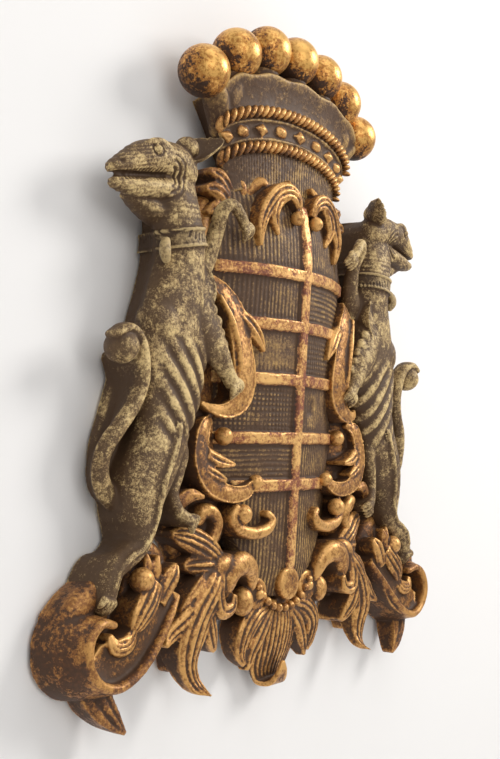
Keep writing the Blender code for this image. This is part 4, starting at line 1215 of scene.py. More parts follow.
@dataclass
class FootFoliage:
    """Rolled volutes, palmette, boss and beads under the shield.

    Attributes:
        beads: Beads in the swag.
        bead_radius: Half thickness of a bead.
        bead_turn: Angle from one bead to the next, in degrees.
        swag: Radius of the swag's arc.
    """

    beads: int = 11
    bead_radius: float = 4.7
    bead_turn: float = 11.2
    swag: float = 54.8

    def volutes(self) -> list[Shell]:
        """Rolled leaf with lobes that fan out and hang to a hooked tip."""
        return [
            limb([(102, 101, 32, 7, 6), (104, 116, 38, 10, 7), (96, 130, 40, 11.5, 8),
                  (80, 134, 40, 11.5, 8), (66, 127, 38, 10, 7), (59, 114, 34, 7, 6), (58, 107, 30, 5, 5)],
                 wall=True),
            ball(67.0, 96.0, 29.0, 12.5, (0.9, 1.15, 0.9)),
            limb([(90, 133, 34, 8, 7), (101, 136, 36, 9.5, 8), (112, 134, 37, 10, 8),
                  (121, 125, 36, 8, 6), (128, 114, 35, 4, 4)], wall=True),
            leaf([(106, 136, 34, 9, 5), (126, 150, 36, 12, 5), (146, 161, 30, 12, 5),
                  (160, 165, 26, 8, 4), (166, 166, 23, 3, 4)], ridges=4),
            leaf([(106, 134, 34, 9, 5), (130, 137, 36, 10, 5), (146, 137, 29, 8, 4),
                  (153, 136, 27, 3, 4)], ridges=3),
            leaf([(108, 136, 36, 10, 5), (126, 114, 42, 13, 6), (143, 92, 40, 16, 6),
                  (152, 68, 36, 17, 6), (151, 48, 32, 12.5, 6), (147, 33, 34, 9, 6), (144, 25, 42, 6, 5),
                  (143, 22, 52, 1.5, 4)], ridges=4, lift=38.0),
            leaf([(114, 131, 35, 9, 5), (142, 113, 38, 10, 5), (164, 96, 33, 3, 4)], ridges=2),
            leaf([(130, 110, 40, 10, 5), (157, 91, 38, 10, 5), (178, 77, 33, 7, 4), (187, 70, 36, 2, 4)],
                 ridges=3),
            leaf([(136, 98, 40, 10, 5), (128, 77, 39, 10, 5), (119, 63, 35, 7, 4), (113, 56, 32, 3, 4)],
                 ridges=3),
            leaf([(116, 128, 42, 6, 5), (121, 108, 44, 8, 5), (117, 94, 45, 8, 5), (103, 95, 45, 6, 5),
                  (98, 107, 45, 3, 4)], ridges=2),
            limb([(112, 120, 8, 30, 10), (140, 96, 8, 26, 10), (150, 66, 8, 14, 8), (152, 46, 8, 7, 6)],
                 Zone.HUSK, wall=True),
            limb([(84, 118, 6, 26, 12), (84, 90, 6, 22, 12)], Zone.HUSK, wall=True),
        ]

    def palmette(self) -> list[Shell]:
        """Fan of lobes whose middle one curls forwards, with boss and discs."""
        shells = [
            leaf([(0, 92, 26, 22, 5), (0, 68, 25, 34, 6), (0, 44, 20, 36, 6), (0, 22, 13, 30, 6),
                  (0, 11, 13, 22, 5), (0, 10, 21, 15, 5), (0, 19, 28, 9, 4), (0, 30, 30, 2.5, 3)],
                 ridges=11, groove=2.0, crown=0.2, wall=False, carried=True),
            limb([(0, 92, 8, 44, 12), (0, 62, 6, 36, 12), (0, 36, 4, 24, 9), (0, 20, 3, 10, 6)],
                 Zone.HUSK, wall=True),
            disc(0.0, 108.0, 32.5, 16.5, 9.0),
        ]
        half = [
            leaf([(20, 87, 27, 8, 5), (44, 80, 30, 12, 5), (60, 64, 29, 12, 5), (62, 46, 25, 9, 5),
                  (55, 33, 24, 4, 4)], ridges=4, groove=2.0, lift=14.0),
            leaf([(16, 82, 28, 7, 5), (34, 62, 29, 9, 5), (46, 42, 26, 7, 5), (51, 27, 25, 1.5, 4)],
                 ridges=2, lift=14.0),
            disc(45.0, 101.0, 25.0, 16.0, 8.0),
            ball(45.0, 101.0, 33.0, 5.5),
        ]
        return shells + both(half)

    def bead_string(self, finish: bpy.types.Material) -> bpy.types.Object:
        """Swag of beads below the boss, from a node tree."""
        tree = NodeTree("bead_swag")
        radius = tree.number("Radius", self.bead_radius * MILLIMETRE)
        bead = tree.add("GeometryNodeMeshUVSphere", {"Segments": 24, "Rings": 16})
        tree.link(radius, bead.inputs["Radius"])
        placed = tree.on_points(bead.outputs["Mesh"])
        half = self.beads // 2
        places = []
        for number in range(-half, half + 1):
            angle = math.radians(self.bead_turn) * number
            places.append((self.swag * math.sin(angle), 137.8 - self.swag * math.cos(angle), 33.0))
        return tree.piece("bead_swag", to_metres(np.array(places)), finish, placed)

    def build(self, finishes: Finishes) -> None:
        """Make the foliage's pieces."""
        Carving("foot_foliage", both(self.volutes()) + self.palmette(), keep=0.46, seed=8).build(finishes)
        report(self.bead_string(finishes[Zone.LEAF]))


@dataclass
class OuterScroll:
    """Deep scroll at one side that a hound stands on, with husks and a hanging leaf."""

    def forms(self) -> list[Shell]:
        """The scroll's forms on the right-hand half."""
        return [
            limb([(174, 112, 34, 3.4, 5, 2, 0), (190, 94, 39, 3.6, 5, 3, 0), (212, 71, 42, 3.8, 5, 4, 0),
                  (233, 55, 43, 4, 5, 6, 0), (258, 47, 43, 4.2, 5, 8, 0), (279, 54, 42, 4.4, 5, 14, 0),
                  (291, 73, 42, 4.4, 5, 19, 0), (287, 92, 41, 4.4, 5, 18, 0), (274, 101, 40, 4, 5, 8, 0),
                  (258, 98, 38, 3.5, 4, 0, 0)], Zone.HUSK, wall=True),
            limb([(200, 108, 8, 20, 6), (225, 88, 8, 30, 6), (258, 80, 8, 32, 6)], Zone.HUSK, wall=True),
            leaf([(182, 122, 35, 9, 5), (200, 102, 38, 15, 6), (221, 78, 40, 18, 6), (243, 65, 40, 17, 6),
                  (262, 65, 38, 14, 5), (274, 77, 35, 10, 5)], ridges=1, crown=-0.16, groove=0.0,
                 rim=1.6),
            leaf([(228, 92, 37, 5, 5), (242, 80, 40, 8, 5), (256, 80, 40, 7, 5), (262, 90, 38, 3, 4)],
                 ridges=4, groove=2.0),
            leaf([(264, 52, 20, 19, 6), (258, 34, 25, 15, 6), (246, 17, 29, 9, 6), (233, 4, 30, 2, 4)],
                 ridges=3, lift=16.0, zone=Zone.HUSK),
            limb([(292, 100, 12, 12, 12, 4, 0), (281, 112, 16, 14, 13, 0, 0),
                  (266, 122, 20, 13, 10, 0, 0)], Zone.HUSK, wall=True),
            ball(221.0, 131.0, 36.0, 11.0),
            leaf([(198, 110, 36, 9, 5), (189, 124, 39, 10, 6), (182, 133, 40, 9, 6),
                  (176, 141, 38, 3, 4)], ridges=2),
            leaf([(206, 122, 34, 5, 5), (203, 138, 38, 7, 5), (200, 151, 37, 1.5, 4)], ridges=1,
                 zone=Zone.HUSK),
            leaf([(212, 130, 34, 4, 5), (211, 143, 36, 5, 5), (212, 153, 34, 1.5, 4)], ridges=1,
                 zone=Zone.HUSK),
            leaf([(204, 127, 38, 11, 6), (215, 114, 41, 13, 6), (225, 103, 42, 12, 6),
                  (232, 92, 40, 7, 5), (235, 86, 37, 2, 4)], ridges=4),
            limb([(190, 150, 16, 22, 10), (205, 130, 18, 20, 8), (212, 108, 16, 18, 8)], Zone.HUSK,
                 wall=True),
        ]

    def build(self, finishes: Finishes) -> None:
        """Make both scrolls."""
        Carving("outer_scroll_right", self.forms(), keep=0.48, seed=21).build(finishes)
        Carving("outer_scroll_left", on_left(self.forms()), keep=0.48, seed=22).build(finishes)


@dataclass
class Hound:
    """Rampant hound that holds the shield, its head turned out and its tail rolled up.

    Attributes:
        rib_pitch: Height from one rib to the next.
        rib_cut: Depth between the ribs.
        collar_width: Height of the collar.
        collar_rise: How proud the collar stands.
        crisp: Tags of the forms that stay crisp.
    """

    rib_pitch: float = 25.0
    rib_cut: float = 2.7
    collar_width: float = 17.0
    collar_rise: float = 1.6
    crisp: tuple[str, ...] = ("paw", "eye", "collar", "loop")

    def trunk(self) -> list[Shell]:
        """Neck, body and outer hind leg in one sweep down to the foot."""
        return [
            limb([(179, 488, 29, 23, 22, 0, -19), (181, 466, 30, 27, 25, 0, -24),
                  (177, 448, 31, 26, 26, 0, -20), (172, 430, 31, 24, 27, 0, -12),
                  (172, 405, 30, 29, 26, 0, -13), (174, 380, 30, 36, 25, 0, -14),
                  (176, 352, 30, 43, 24, 0, -13), (179, 318, 30, 42, 24, 0, -12),
                  (181, 292, 30, 37, 23, 0, -10), (187, 270, 29, 33, 22, 0, -8),
                  (195, 250, 29, 30, 22, 0, -6), (206, 228, 28, 29, 22, 0, -2),
                  (213, 212, 27, 28, 21, 0, 2), (217, 193, 26, 23, 20, 0, 0),
                  (218, 174, 26, 17, 18, 0, 0), (223, 160, 26, 13, 16, 2, -1),
                  (237, 150, 26, 11, 15, 2, -4), (252, 141, 26, 11, 15, 0, 2),
                  (258, 128, 26, 11, 14, 0, 6), (260, 115, 25, 11, 13, 0, 10)], Zone.HOUND, wall=True,
                 square=0.92, tag="trunk"),
            ball(198.0, 352.0, 33.0, 21.0, (1.0, 1.25, 1.0), Zone.HOUND, "trunk"),
        ]

    def head(self) -> list[Shell]:
        """Skull, snout, jaw, throat, eye, brow and ear."""
        return [
            limb([(176, 492, 37, 20, 18), (190, 498, 40, 17.5, 18), (206, 498, 41, 16.5, 17),
                  (222, 496.5, 41.5, 15.5, 16), (236, 492.5, 41, 13.5, 13.5),
                  (246, 487.5, 40, 11.5, 11.5), (256, 483, 39, 9, 10), (263, 480, 38, 6.5, 8)],
                 Zone.HOUND, tag="head"),
            limb([(182, 474, 35, 14, 15), (204, 472, 40, 11, 14), (224, 469, 41, 9.6, 12.5),
                  (242, 467, 40, 8.2, 10.5), (255, 466.5, 39, 6.4, 8.5), (261, 467, 38, 5.5, 7)],
                 Zone.HOUND, tag="jaw"),
            limb([(200, 480, 34, 7, 10), (226, 478, 35, 6, 9), (250, 474, 34, 5, 7)], Zone.HOUND,
                 tag="mouth"),
            limb([(240, 461, 33, 4, 8), (224, 458, 31, 8, 12), (208, 454, 30, 10, 15),
                  (194, 450, 29, 10, 16)], Zone.HOUND, tag="throat"),
            ball(225.0, 500.0, 55.5, 3.9, (1.0, 1.0, 1.0), Zone.HOUND, "eye"),
            limb([(203, 503, 54, 2, 2), (214, 508, 54.5, 3, 2.5), (228, 507.5, 53, 3, 2.5),
                  (240, 501, 49, 2.4, 2)], Zone.HOUND, tag="brow"),
            ball(171.0, 515.0, 43.0, 11.5, (1.0, 0.95, 1.0), Zone.HOUND, "head"),
            leaf([(176, 508, 42, 10, 5), (168, 514, 50, 15, 5), (160, 519, 57, 13.5, 4),
                  (152, 523, 62.5, 8, 3.5), (145.5, 527, 66, 1.5, 3)], crown=-0.42, ridges=1, groove=0.0,
                 rim=1.0, wall=False, zone=Zone.HOUND, roll=-58.0, tag="ear"),
        ]

    def collar(self) -> list[Shell]:
        """Belt round the neck with raised borders and a hanging loop."""
        half = self.collar_width / 2
        shells = []
        border = self.collar_rise + 1.2
        for low, high, rise in ((-half, half, self.collar_rise), (-half, -half + 2.4, border),
                                (half - 2.4, half, border)):
            rows = []
            for step in (high, low):
                rows.append((173.5 + 0.18 * step, 432 + step, 31, 24.5 + rise, 27 + rise, 0,
                             -11.5 - 0.25 * step))
            shells.append(limb(rows, Zone.COLLAR, wall=True, ends=False, square=0.92, tag="collar"))
        shells.append(limb([(203, 425, 46, 4, 4), (206, 420, 47.5, 5.2, 5), (206, 414, 47.5, 5.2, 5),
                            (203, 409, 46, 4, 4)], Zone.COLLAR, tag="loop"))
        return shells

    def paw(self, wrist: Place, along: Place, width: float, length: float) -> list[Shell]:
        """Four toes that end in claws.

        Args:
            wrist: Its place on the sheet.
            along: Direction of the toes.
            width: Spread of the toes.
            length: Their length.

        Returns:
            The toes.
        """
        way = np.array(along, dtype=float) / np.linalg.norm(along)
        forward = np.array([0.0, 0.0, 1.0])
        side = np.cross(way, forward)
        side /= max(np.linalg.norm(side), 1e-6)
        shells = []
        for place in (-1.0, -0.35, 0.35, 1.0):
            start = np.array(wrist) + side * place * width * 0.6
            mid = start + way * length * 0.45 + side * place * width * 0.5 + forward * 1.8
            tip = start + way * length * 0.85 + side * place * width * 0.7 - forward * 1.2
            claw = tip + way * length * 0.25 - forward * 2.5
            rows = [(*start, 3.0, 3.2), (*mid, 3.1, 3.6), (*tip, 2.3, 2.6), (*claw, 0.8, 1.0)]
            shells.append(limb(rows, Zone.HOUND, tag="paw"))
        return shells

    def limbs(self) -> list[Shell]:
        """Forelegs, inner hind leg and paws."""
        shells = [
            limb([(146, 398, 28, 16, 12), (132, 420, 34, 11, 9), (126, 446, 42, 8, 7.5),
                  (127, 466, 51, 7, 7), (119, 471, 56, 6, 6), (108, 462, 58, 5.5, 5.5),
                  (101, 453, 57, 5.5, 5)], Zone.HOUND, tag="leg"),
            limb([(122, 420, 12, 17, 12), (116, 452, 12, 15, 12), (112, 476, 12, 13, 12)], Zone.HUSK,
                 wall=True),
            limb([(166, 384, 38, 22, 15), (152, 360, 42, 20, 14), (138, 342, 45, 17, 12),
                  (125, 326, 46, 12, 10), (115, 313, 47, 8, 8), (107, 303, 48, 7.5, 7)], Zone.HOUND,
                 tag="leg"),
            limb([(196, 268, 30, 20, 12), (178, 252, 34, 12, 10), (170, 238, 34, 9, 9),
                  (174, 220, 34, 7, 7.5), (178, 203, 33, 6, 6.5), (172, 187, 36, 5.5, 6),
                  (160, 178, 40, 6, 6)], Zone.HOUND, wall=True, tag="leg"),
        ]
        frill = ((141, 370, 48, 7.0), (133, 360, 48, 6.5), (127, 350, 47, 6.0), (121, 340, 47, 5.5),
                 (115, 331, 46, 5.0))
        for x, z, d, size in frill:
            shells.append(ball(x, z, d, size, (1.0, 1.0, 0.8), Zone.HOUND, "frill"))
        shells.append(leaf([(168, 414, 46, 6, 6), (158, 404, 50, 10, 6), (152, 390, 53, 12, 6),
                            (154, 376, 54, 9, 5), (160, 366, 54, 3, 4)], ridges=1, crown=-0.1, groove=0.0,
                           rim=2.0, zone=Zone.HOUND, tag="fold"))
        shells.append(limb([(188, 262, 50, 3, 4), (196, 240, 50, 4, 5), (205, 220, 48, 4, 5),
                            (210, 198, 46, 3.5, 4.5), (213, 178, 43, 3, 4), (224, 160, 41, 3, 4),
                            (240, 152, 40, 3, 4), (253, 142, 39, 3, 4), (258, 130, 38, 3, 4)], Zone.HOUND,
                           tag="shin"))
        shells += self.paw((101.0, 456.0, 57.0), (-0.5, -0.85, 0.0), 5.0, 15.0)
        shells += self.paw((109.0, 307.0, 50.0), (-0.45, -0.85, 0.0), 6.0, 15.0)
        shells += self.paw((162.0, 180.0, 40.0), (-0.75, -0.6, 0.1), 5.0, 12.0)
        shells += self.paw((262.0, 121.0, 34.0), (0.15, -0.9, 0.2), 5.5, 9.0)
        return shells

    def tail(self) -> list[Shell]:
        """Tail whose outer side stands on the wall, rising behind the rump and rolling up."""
        return [
            limb([(236, 200, 15, 11, 9, -6, 0), (250, 208, 17, 10, 9, -10, 0),
                  (259, 225, 20, 9, 9, -15, 0), (258, 242, 24, 8.5, 9, -17, 0),
                  (247, 262, 31, 8, 9, -18, 0), (233, 282, 35, 7.5, 9, -9, 2),
                  (226, 302, 38, 7, 9, -4, 4), (229, 322, 40, 6.5, 9, 0, 4)], Zone.HOUND, wall=True,
                 tag="tail"),
            limb([(226, 304, 38, 7, 9), (229, 324, 40, 6.5, 9.5), (239, 339, 42, 5.5, 10),
                  (253, 344, 43, 5, 11), (266, 338, 43, 4, 10)], Zone.HOUND, tag="tail"),
            ball(253.0, 328.5, 40.0, 14.5, (1.0, 1.0, 1.1), Zone.HOUND, "tail"),
            limb([(232, 214, 6, 20, 8), (236, 240, 6, 16, 8), (228, 268, 6, 14, 8), (218, 300, 6, 12, 8)],
                 Zone.HOUND, wall=True, tag="web"),
        ]

    def ribs(self, x: np.ndarray, z: np.ndarray, d: np.ndarray) -> np.ndarray:
        """Rise of the ribs at places of the sheet, 0 off the rib cage."""
        phase = (z - 1.2 * (x - 178.0)) / self.rib_pitch
        wave = (0.5 + 0.5 * np.cos(2 * np.pi * phase)) ** 1.3
        cage = ramp(z, 244.0, 16.0) * ramp(-z, -346.0, 22.0) * ramp(-x, -214.0, 14.0)
        return -self.rib_cut * wave * cage * ramp(d, 8.0, 14.0)

    def carve_body(self, places: np.ndarray, tags: np.ndarray) -> np.ndarray:
        """Ribs, folds and facial lines cut into the fused skin.

        Args:
            places: Corners on the sheet.
            tags: What form each corner belongs to.

        Returns:
            Rise of each corner, in millimetres.
        """
        x, z, d = np.abs(places[:, 0]), places[:, 1], places[:, 2]
        trunk = tags == "trunk"
        skull = tags == "head"
        muzzle = np.isin(tags, ("head", "jaw", "mouth"))
        cheek = np.isin(tags, ("head", "jaw", "throat", "trunk")) & (x < 205.0) & (d > 34.0)
        rise = self.ribs(x, z, d) * trunk
        corner = np.hypot(x - 206.0, z - 481.0)
        folds = np.cos(2 * np.pi * corner / 5.6) * ramp(corner, 5.0, 3.0) * ramp(-corner, -25.0, 8.0)
        rise = rise + 0.8 * folds * cheek
        slit = np.abs(z - 472.0 - 0.15 * (274.0 - x))
        rise = rise - 2.0 * groove_at(slit, 1.7) * muzzle * (x > 207.0)
        teeth = (0.5 + 0.5 * np.cos(2 * np.pi * x / 3.8)) * groove_at(slit - 3.6, 1.6)
        rise = rise - 0.8 * teeth * muzzle * (x > 210.0) * (x < 257.0)
        lid = np.abs(np.hypot(x - 225.0, z - 500.0) - 5.4)
        rise = rise - 1.3 * groove_at(lid, 1.1) * skull * (d > 42.0)
        nostril = np.hypot(x - 261.0, z - 484.5)
        rise = rise - 1.8 * groove_at(nostril, 2.0) * skull * (d > 38.0)
        whisker = np.cos(2 * np.pi * (z + 0.25 * (x - 250.0)) / 3.4)
        rise = rise + 0.2 * whisker * muzzle * (x > 226.0)
        throat = np.cos(2 * np.pi * (z + 0.1 * x) / 5.2) * ramp(z, 442.0, 6.0) * ramp(-z, -468.0, 8.0)
        rise = rise + 0.18 * throat * (trunk | (tags == "throat"))
        strokes = 1.6 * np.cos(2 * np.pi * (x + 0.8 * d) / 4.9) + 0.5 * np.cos(0.9 * x) - 0.3
        belt = (tags == "collar") & (np.abs(z - 432.0 - 0.1 * (x - 173.0)) < 3.4)
        return rise - 0.7 * np.clip(strokes, 0.0, 1.0) * belt

    def build(self, finishes: Finishes) -> None:
        """Make both hounds."""
        forms = self.trunk() + self.head() + self.collar() + self.limbs() + self.tail()
        for name, shells, seed in (("hound_right", forms, 31), ("hound_left", on_left(forms), 32)):
            Carving(name, shells, keep=0.46, cuts=[self.carve_body], soften=6, crisp=self.crisp,
                    seed=seed).build(finishes)


@dataclass(frozen=True)
class Finish:
    """A worn finish over dark wood.

    Attributes:
        name: The material's name.
        bright: Colour of rubbed high places.
        deep: Colour of the coat between them.
        glaze: Colour of the glaze that gathers on the coat.
        ground: Colour of the bare, dark hollows, taken most in the deepest ones as painted shade.
        cover: Share of the coat that is left, about 0 to 1.
        relief: How strongly the coat follows the high places.
        patch: Strength of its broken patches.
        metallic: Metal look of the coat.
        sheen_rough: Roughness of the coat.
        speckle: Strength of its finest specks.
    """

    name: str
    bright: Colour
    deep: Colour
    glaze: Colour
    ground: Colour
    cover: float
    relief: float
    patch: float
    metallic: float
    sheen_rough: float
    speckle: float


FINISHES: dict[Zone, Finish] = {
    Zone.BALL: Finish("burnished_gold", (0.80, 0.46, 0.13), (0.46, 0.19, 0.042), (0.12, 0.042, 0.013),
                      (0.042, 0.020, 0.010), 0.46, 0.85, 1.10, 0.60, 0.34, 0.25),
    Zone.LEAF: Finish("leaf_gold", (0.72, 0.40, 0.13), (0.34, 0.150, 0.043), (0.14, 0.060, 0.022),
                      (0.074, 0.037, 0.018), 0.36, 0.72, 0.85, 0.45, 0.38, 0.3),
    Zone.BAR: Finish("bole_gold", (0.86, 0.51, 0.18), (0.46, 0.195, 0.070), (0.24, 0.078, 0.040),
                     (0.070, 0.038, 0.024), 0.36, 0.45, 1.50, 0.35, 0.38, 0.3),
    Zone.UMBER: Finish("umber_wood", (0.46, 0.29, 0.10), (0.19, 0.107, 0.045), (0.108, 0.056, 0.027),
                       (0.076, 0.040, 0.020), 0.29, 0.80, 0.75, 0.10, 0.54, 0.5),
    Zone.HUSK: Finish("brown_gold", (0.58, 0.30, 0.085), (0.27, 0.112, 0.034), (0.120, 0.047, 0.017),
                      (0.066, 0.032, 0.016), 0.45, 0.45, 1.05, 0.30, 0.42, 0.25),
    Zone.HOUND: Finish("hound_paint", (0.70, 0.52, 0.24), (0.30, 0.195, 0.084), (0.120, 0.069, 0.031),
                       (0.080, 0.043, 0.020), 0.23, 0.62, 1.05, 0.0, 0.56, 0.7),
    Zone.COLLAR: Finish("collar_paint", (0.52, 0.38, 0.18), (0.22, 0.145, 0.066), (0.11, 0.066, 0.031),
                        (0.062, 0.035, 0.018), 0.26, 0.90, 0.70, 0.0, 0.56, 0.6),
}


COAT_COLOURS = ("Bright", "Deep", "Glaze", "Ground")
COAT_MEASURES = ("Cover", "Relief", "Patch", "Speckle")


class ShaderGroup:
    """Small writer of shader node groups."""

    def __init__(self, name: str) -> None:
        """Start an empty group."""
        self.tree = bpy.data.node_groups.new(name, "ShaderNodeTree")
        self.start = self.tree.nodes.new("NodeGroupInput")
        self.end = self.tree.nodes.new("NodeGroupOutput")

    def socket(self, name: str, kind: str, way: str = "INPUT") -> None:
        """Add a named socket."""
        self.tree.interface.new_socket(name, in_out=way, socket_type=kind)

    def feed(self, target: bpy.types.NodeSocket, source: object) -> None:
        """Link a socket or set its value."""
        if isinstance(source, bpy.types.NodeSocket):
            self.tree.links.new(source, target)
        else:
            target.default_value = source

    def math(self, kind: str, a: object, b: object = 0.0, c: object = 0.0) -> bpy.types.NodeSocket:
        """One arithmetic step."""
        node = self.tree.nodes.new("ShaderNodeMath")
        node.operation = kind
        for place, value in enumerate((a, b, c)):
            self.feed(node.inputs[place], value)
        return node.outputs[0]

    def ramp(self, value: object, low: float, high: float) -> bpy.types.NodeSocket:
        """Smooth step from 0 at low to 1 at high."""
        node = self.tree.nodes.new("ShaderNodeMapRange")
        node.interpolation_type = "SMOOTHSTEP"
        self.feed(node.inputs["Value"], value)
        node.inputs["From Min"].default_value = low
        node.inputs["From Max"].default_value = high
        return node.outputs["Result"]

    def mix(self, share: object, a: object, b: object) -> bpy.types.NodeSocket:
        """Mix of two colours."""
        node = self.tree.nodes.new("ShaderNodeMix")
        node.data_type = "RGBA"
        self.feed(node.inputs[0], share)
        self.feed(node.inputs[6], a)
        self.feed(node.inputs[7], b)
        return node.outputs[2]

    def noise(self, place: bpy.types.NodeSocket, scale: float, detail: float = 3.0,
              rough: float = 0.55) -> bpy.types.NodeSocket:
        """Noise field."""
        node = self.tree.nodes.new("ShaderNodeTexNoise")
        self.feed(node.inputs["Vector"], place)
        node.inputs["Scale"].default_value = scale
        node.inputs["Detail"].default_value = detail
        node.inputs["Roughness"].default_value = rough
        return node.outputs["Fac"]

    def swing(self, source: object, amount: object) -> bpy.types.NodeSocket:
        """A field's swing about its middle, times an amount."""
        return self.math("MULTIPLY", self.math("SUBTRACT", source, 0.5), amount)

    def value(self, name: str) -> bpy.types.NodeSocket:
        """Relief value that the mesh carries."""
        node = self.tree.nodes.new("ShaderNodeAttribute")
        node.attribute_name = name
        return node.outputs["Fac"]


def worn_coat() -> bpy.types.NodeTree:
    """Shader group of a coat worn off the relief, shared by all finishes; where the coat is gone, the
    deepest hollows are painted darker as shade.

    Returns:
        A group that gives colour, coat mask, roughness and height.
    """
    group = ShaderGroup("worn_coat")
    for name in COAT_COLOURS:
        group.socket(name, "NodeSocketColor")
    for name in COAT_MEASURES:
        group.socket(name, "NodeSocketFloat")
    group.socket("Color", "NodeSocketColor", "OUTPUT")
    for name in ("Coat", "Roughness", "Height"):
        group.socket(name, "NodeSocketFloat", "OUTPUT")
    inputs = group.start.outputs
    place = group.tree.nodes.new("ShaderNodeTexCoord").outputs["Object"]
    large = group.noise(place, 16.0, 3.0)
    middle = group.noise(place, 70.0, 4.0, 0.6)
    small = group.noise(place, 330.0, 4.0, 0.65)
    grain = group.noise(place, 1100.0, 2.0, 0.6)
    fine = group.value("fine")
    # The broad value holds broad relief and, on the carvings and node-tree pieces, painted light and
    # shade.
    broad = group.value("broad")
    relief = group.math("ADD", group.math("MULTIPLY", fine, 1.1), group.math("MULTIPLY", broad, 0.30))
    relief = group.math("MAXIMUM", group.math("MINIMUM", relief, 0.7), -0.7)
    level = group.math("MULTIPLY_ADD", relief, inputs["Relief"], inputs["Cover"])
    broken = group.math("ADD", group.swing(middle, 1.3), group.swing(small, 1.1))
    broken = group.math("ADD", broken, group.swing(large, 1.1))
    broken = group.math("ADD", broken, group.math("MULTIPLY", group.swing(grain, inputs["Speckle"]), 1.6))
    level = group.math("MULTIPLY_ADD", broken, inputs["Patch"], level)
    coat = group.ramp(level, 0.36, 0.56)
    rubbed = group.ramp(group.math("ADD", group.swing(small, 0.7), level), 0.50, 0.98)
    colour = group.mix(rubbed, inputs["Deep"], inputs["Bright"])
    pool = group.ramp(group.math("MULTIPLY_ADD", relief, -0.7, large), 0.42, 0.85)
    colour = group.mix(group.math("MULTIPLY", pool, 0.8), colour, inputs["Glaze"])
    # Painted shade over the real bare ground: where no coat is left, the deepest hollows take the dark
    # ground colour and shallower places the glaze.
    hollow_shade = group.ramp(group.math("MULTIPLY_ADD", relief, 0.5, small), 0.35, 0.85)
    shadow = group.mix(hollow_shade, inputs["Ground"], inputs["Glaze"])
    group.feed(group.end.inputs["Color"], group.mix(coat, shadow, colour))
    group.feed(group.end.inputs["Coat"], coat)
    group.feed(group.end.inputs["Roughness"], group.swing(middle, 0.35))
    height = group.math("ADD", group.math("MULTIPLY", coat, 0.35), group.math("MULTIPLY", small, 0.6))
    group.feed(group.end.inputs["Height"], height)
    return group.tree


def material(finish: Finish, coat: bpy.types.NodeTree) -> bpy.types.Material:
    """Material of one finish.

    Args:
        finish: Its colours and wear.
        coat: The shared group.

    Returns:
        The material.
    """
    made = bpy.data.materials.new(finish.name)
    made.use_nodes = True
    tree = made.node_tree
    shader = tree.nodes["Principled BSDF"]
    group = tree.nodes.new("ShaderNodeGroup")
    group.node_tree = coat
    for name in COAT_COLOURS:
        group.inputs[name].default_value = (*getattr(finish, name.lower()), 1.0)
    for name in COAT_MEASURES:
        group.inputs[name].default_value = getattr(finish, name.lower())
    tree.links.new(group.outputs["Color"], shader.inputs["Base Color"])
    if finish.metallic:
        metal = tree.nodes.new("ShaderNodeMath")
        metal.operation = "MULTIPLY"
        tree.links.new(group.outputs["Coat"], metal.inputs[0])
        metal.inputs[1].default_value = finish.metallic
        tree.links.new(metal.outputs[0], shader.inputs["Metallic"])
    rough = tree.nodes.new("ShaderNodeMapRange")
    tree.links.new(group.outputs["Coat"], rough.inputs["Value"])
    rough.inputs["To Min"].default_value = 0.62
    rough.inputs["To Max"].default_value = finish.sheen_rough
    uneven = tree.nodes.new("ShaderNodeMath")
    uneven.operation = "ADD"
    tree.links.new(rough.outputs["Result"], uneven.inputs[0])
    tree.links.new(group.outputs["Roughness"], uneven.inputs[1])
    tree.links.new(uneven.outputs[0], shader.inputs["Roughness"])
    shader.inputs["Specular IOR Level"].default_value = 0.35
    bump = tree.nodes.new("ShaderNodeBump")
    bump.inputs["Strength"].default_value = 0.55
    bump.inputs["Distance"].default_value = 0.0007
    tree.links.new(group.outputs["Height"], bump.inputs["Height"])
    tree.links.new(bump.outputs["Normal"], shader.inputs["Normal"])
    return made


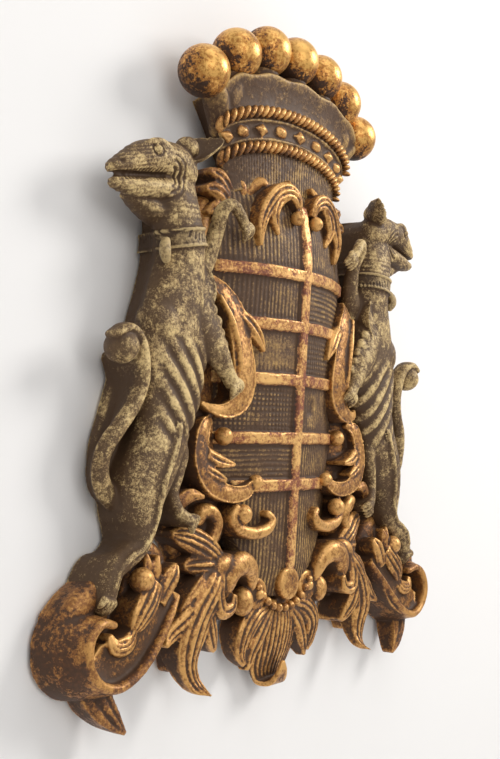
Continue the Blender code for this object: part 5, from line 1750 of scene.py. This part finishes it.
@dataclass
class Studio:
    """Pale wall and floor, soft lights and the camera at the photograph's place.

    Attributes:
        azimuth: Direction of the camera round the part, in degrees.
        pitch: Its height above the horizon, in degrees.
        focal_pixels: Focal length, in pixels of the photograph.
        photo_pixels: The photograph's longer side.
        sensor: Side of the sensor that stands for it, in millimetres.
        distance: Distance from the aim point.
        aim: The aim point.
        reach: Half width of the wall and the floor.
        wall_gap: How far the wall stands behind the part.
        floor_height: Height of the floor.
    """

    azimuth: float = -54.17
    pitch: float = -3.78
    focal_pixels: float = 1100.0
    photo_pixels: float = 759.0
    sensor: float = 36.0
    distance: float = 1.2102
    aim: Place = (0.0446, 0.042, 0.3197 - HANGING_HEIGHT)
    reach: float = 4.0
    wall_gap: float = 0.004
    floor_height: float = -1.4

    def camera(self) -> None:
        """Set the camera."""
        a, e = math.radians(self.azimuth), math.radians(self.pitch)
        back = Vector((math.sin(a) * math.cos(e), -math.cos(a) * math.cos(e), math.sin(e)))
        data = bpy.data.cameras.new("camera")
        data.sensor_width = self.sensor
        data.lens = self.focal_pixels / self.photo_pixels * self.sensor
        camera = bpy.data.objects.new("camera", data)
        bpy.context.scene.collection.objects.link(camera)
        camera.location = Vector(self.aim) + back * self.distance
        camera.rotation_euler = (-back).to_track_quat("-Z", "Y").to_euler()
        bpy.context.scene.camera = camera

    def light(self, name: str, place: Place, power: float, size: float, colour: Colour) -> None:
        """Add a square soft light that looks at the part."""
        data = bpy.data.lights.new(name, "AREA")
        data.energy = power
        data.size = size
        data.color = colour
        lamp = bpy.data.objects.new(name, data)
        bpy.context.scene.collection.objects.link(lamp)
        lamp.location = place
        way = Vector((0.0, 0.0, -0.2)) - Vector(place)
        lamp.rotation_euler = way.to_track_quat("-Z", "Y").to_euler()

    def backdrop(self) -> None:
        """Pale wall behind the part, clear from behind, and a pale floor."""
        far, gap, low = self.reach, self.wall_gap, self.floor_height
        wall = sheet("backdrop", [(-far, gap, -2.0), (far, gap, -2.0), (far, gap, 2.5), (-far, gap, 2.5)])
        paint = bpy.data.materials.new("pale_wall")
        paint.use_nodes = True
        tree = paint.node_tree
        shader = tree.nodes["Principled BSDF"]
        shader.inputs["Base Color"].default_value = (0.86, 0.855, 0.85, 1.0)
        shader.inputs["Roughness"].default_value = 0.9
        clear = tree.nodes.new("ShaderNodeBsdfTransparent")
        side = tree.nodes.new("ShaderNodeNewGeometry")
        mix = tree.nodes.new("ShaderNodeMixShader")
        tree.links.new(side.outputs["Backfacing"], mix.inputs[0])
        tree.links.new(shader.outputs[0], mix.inputs[1])
        tree.links.new(clear.outputs[0], mix.inputs[2])
        tree.links.new(mix.outputs[0], tree.nodes["Material Output"].inputs["Surface"])
        wall.materials.append(paint)
        floor = sheet("floor", [(-far, -far, low), (far, -far, low), (far, far, low), (-far, far, low)])
        plain = bpy.data.materials.new("pale_floor")
        plain.use_nodes = True
        plain_shader = plain.node_tree.nodes["Principled BSDF"]
        plain_shader.inputs["Base Color"].default_value = (0.82, 0.81, 0.80, 1.0)
        floor.materials.append(plain)
        new_object("backdrop", wall)
        new_object("floor", floor)

    def build(self) -> None:
        """Set the whole stage."""
        self.camera()
        self.light("key", (1.7, -1.5, 0.9), 37.5, 0.9, (1.0, 0.975, 0.945))
        self.light("front", (-0.9, -2.2, 0.5), 16.0, 1.6, (1.0, 0.985, 0.97))
        self.light("top", (0.1, -1.0, 1.9), 10.0, 1.4, (1.0, 1.0, 1.0))
        world = bpy.data.worlds.new("studio")
        world.use_nodes = True
        sky = world.node_tree.nodes["Background"]
        sky.inputs["Color"].default_value = (1.0, 0.98, 0.965, 1.0)
        sky.inputs["Strength"].default_value = 0.43
        bpy.context.scene.world = world
        bpy.context.scene.view_settings.view_transform = "Standard"
        self.backdrop()


def main() -> None:
    """Build the stage and the carving."""
    logging.basicConfig(level=logging.INFO, format="%(name)s %(message)s")
    Studio().build()
    coat = worn_coat()
    finishes = {zone: material(finish, coat) for zone, finish in FINISHES.items()}
    for assembly in (Coronet(), ShieldPanel(), ScrollFrame(), FootFoliage(), OuterScroll(), Hound()):
        assembly.build(finishes)
        LOG.info("built %s", type(assembly).__name__)


if __name__ == "__main__":
    main()
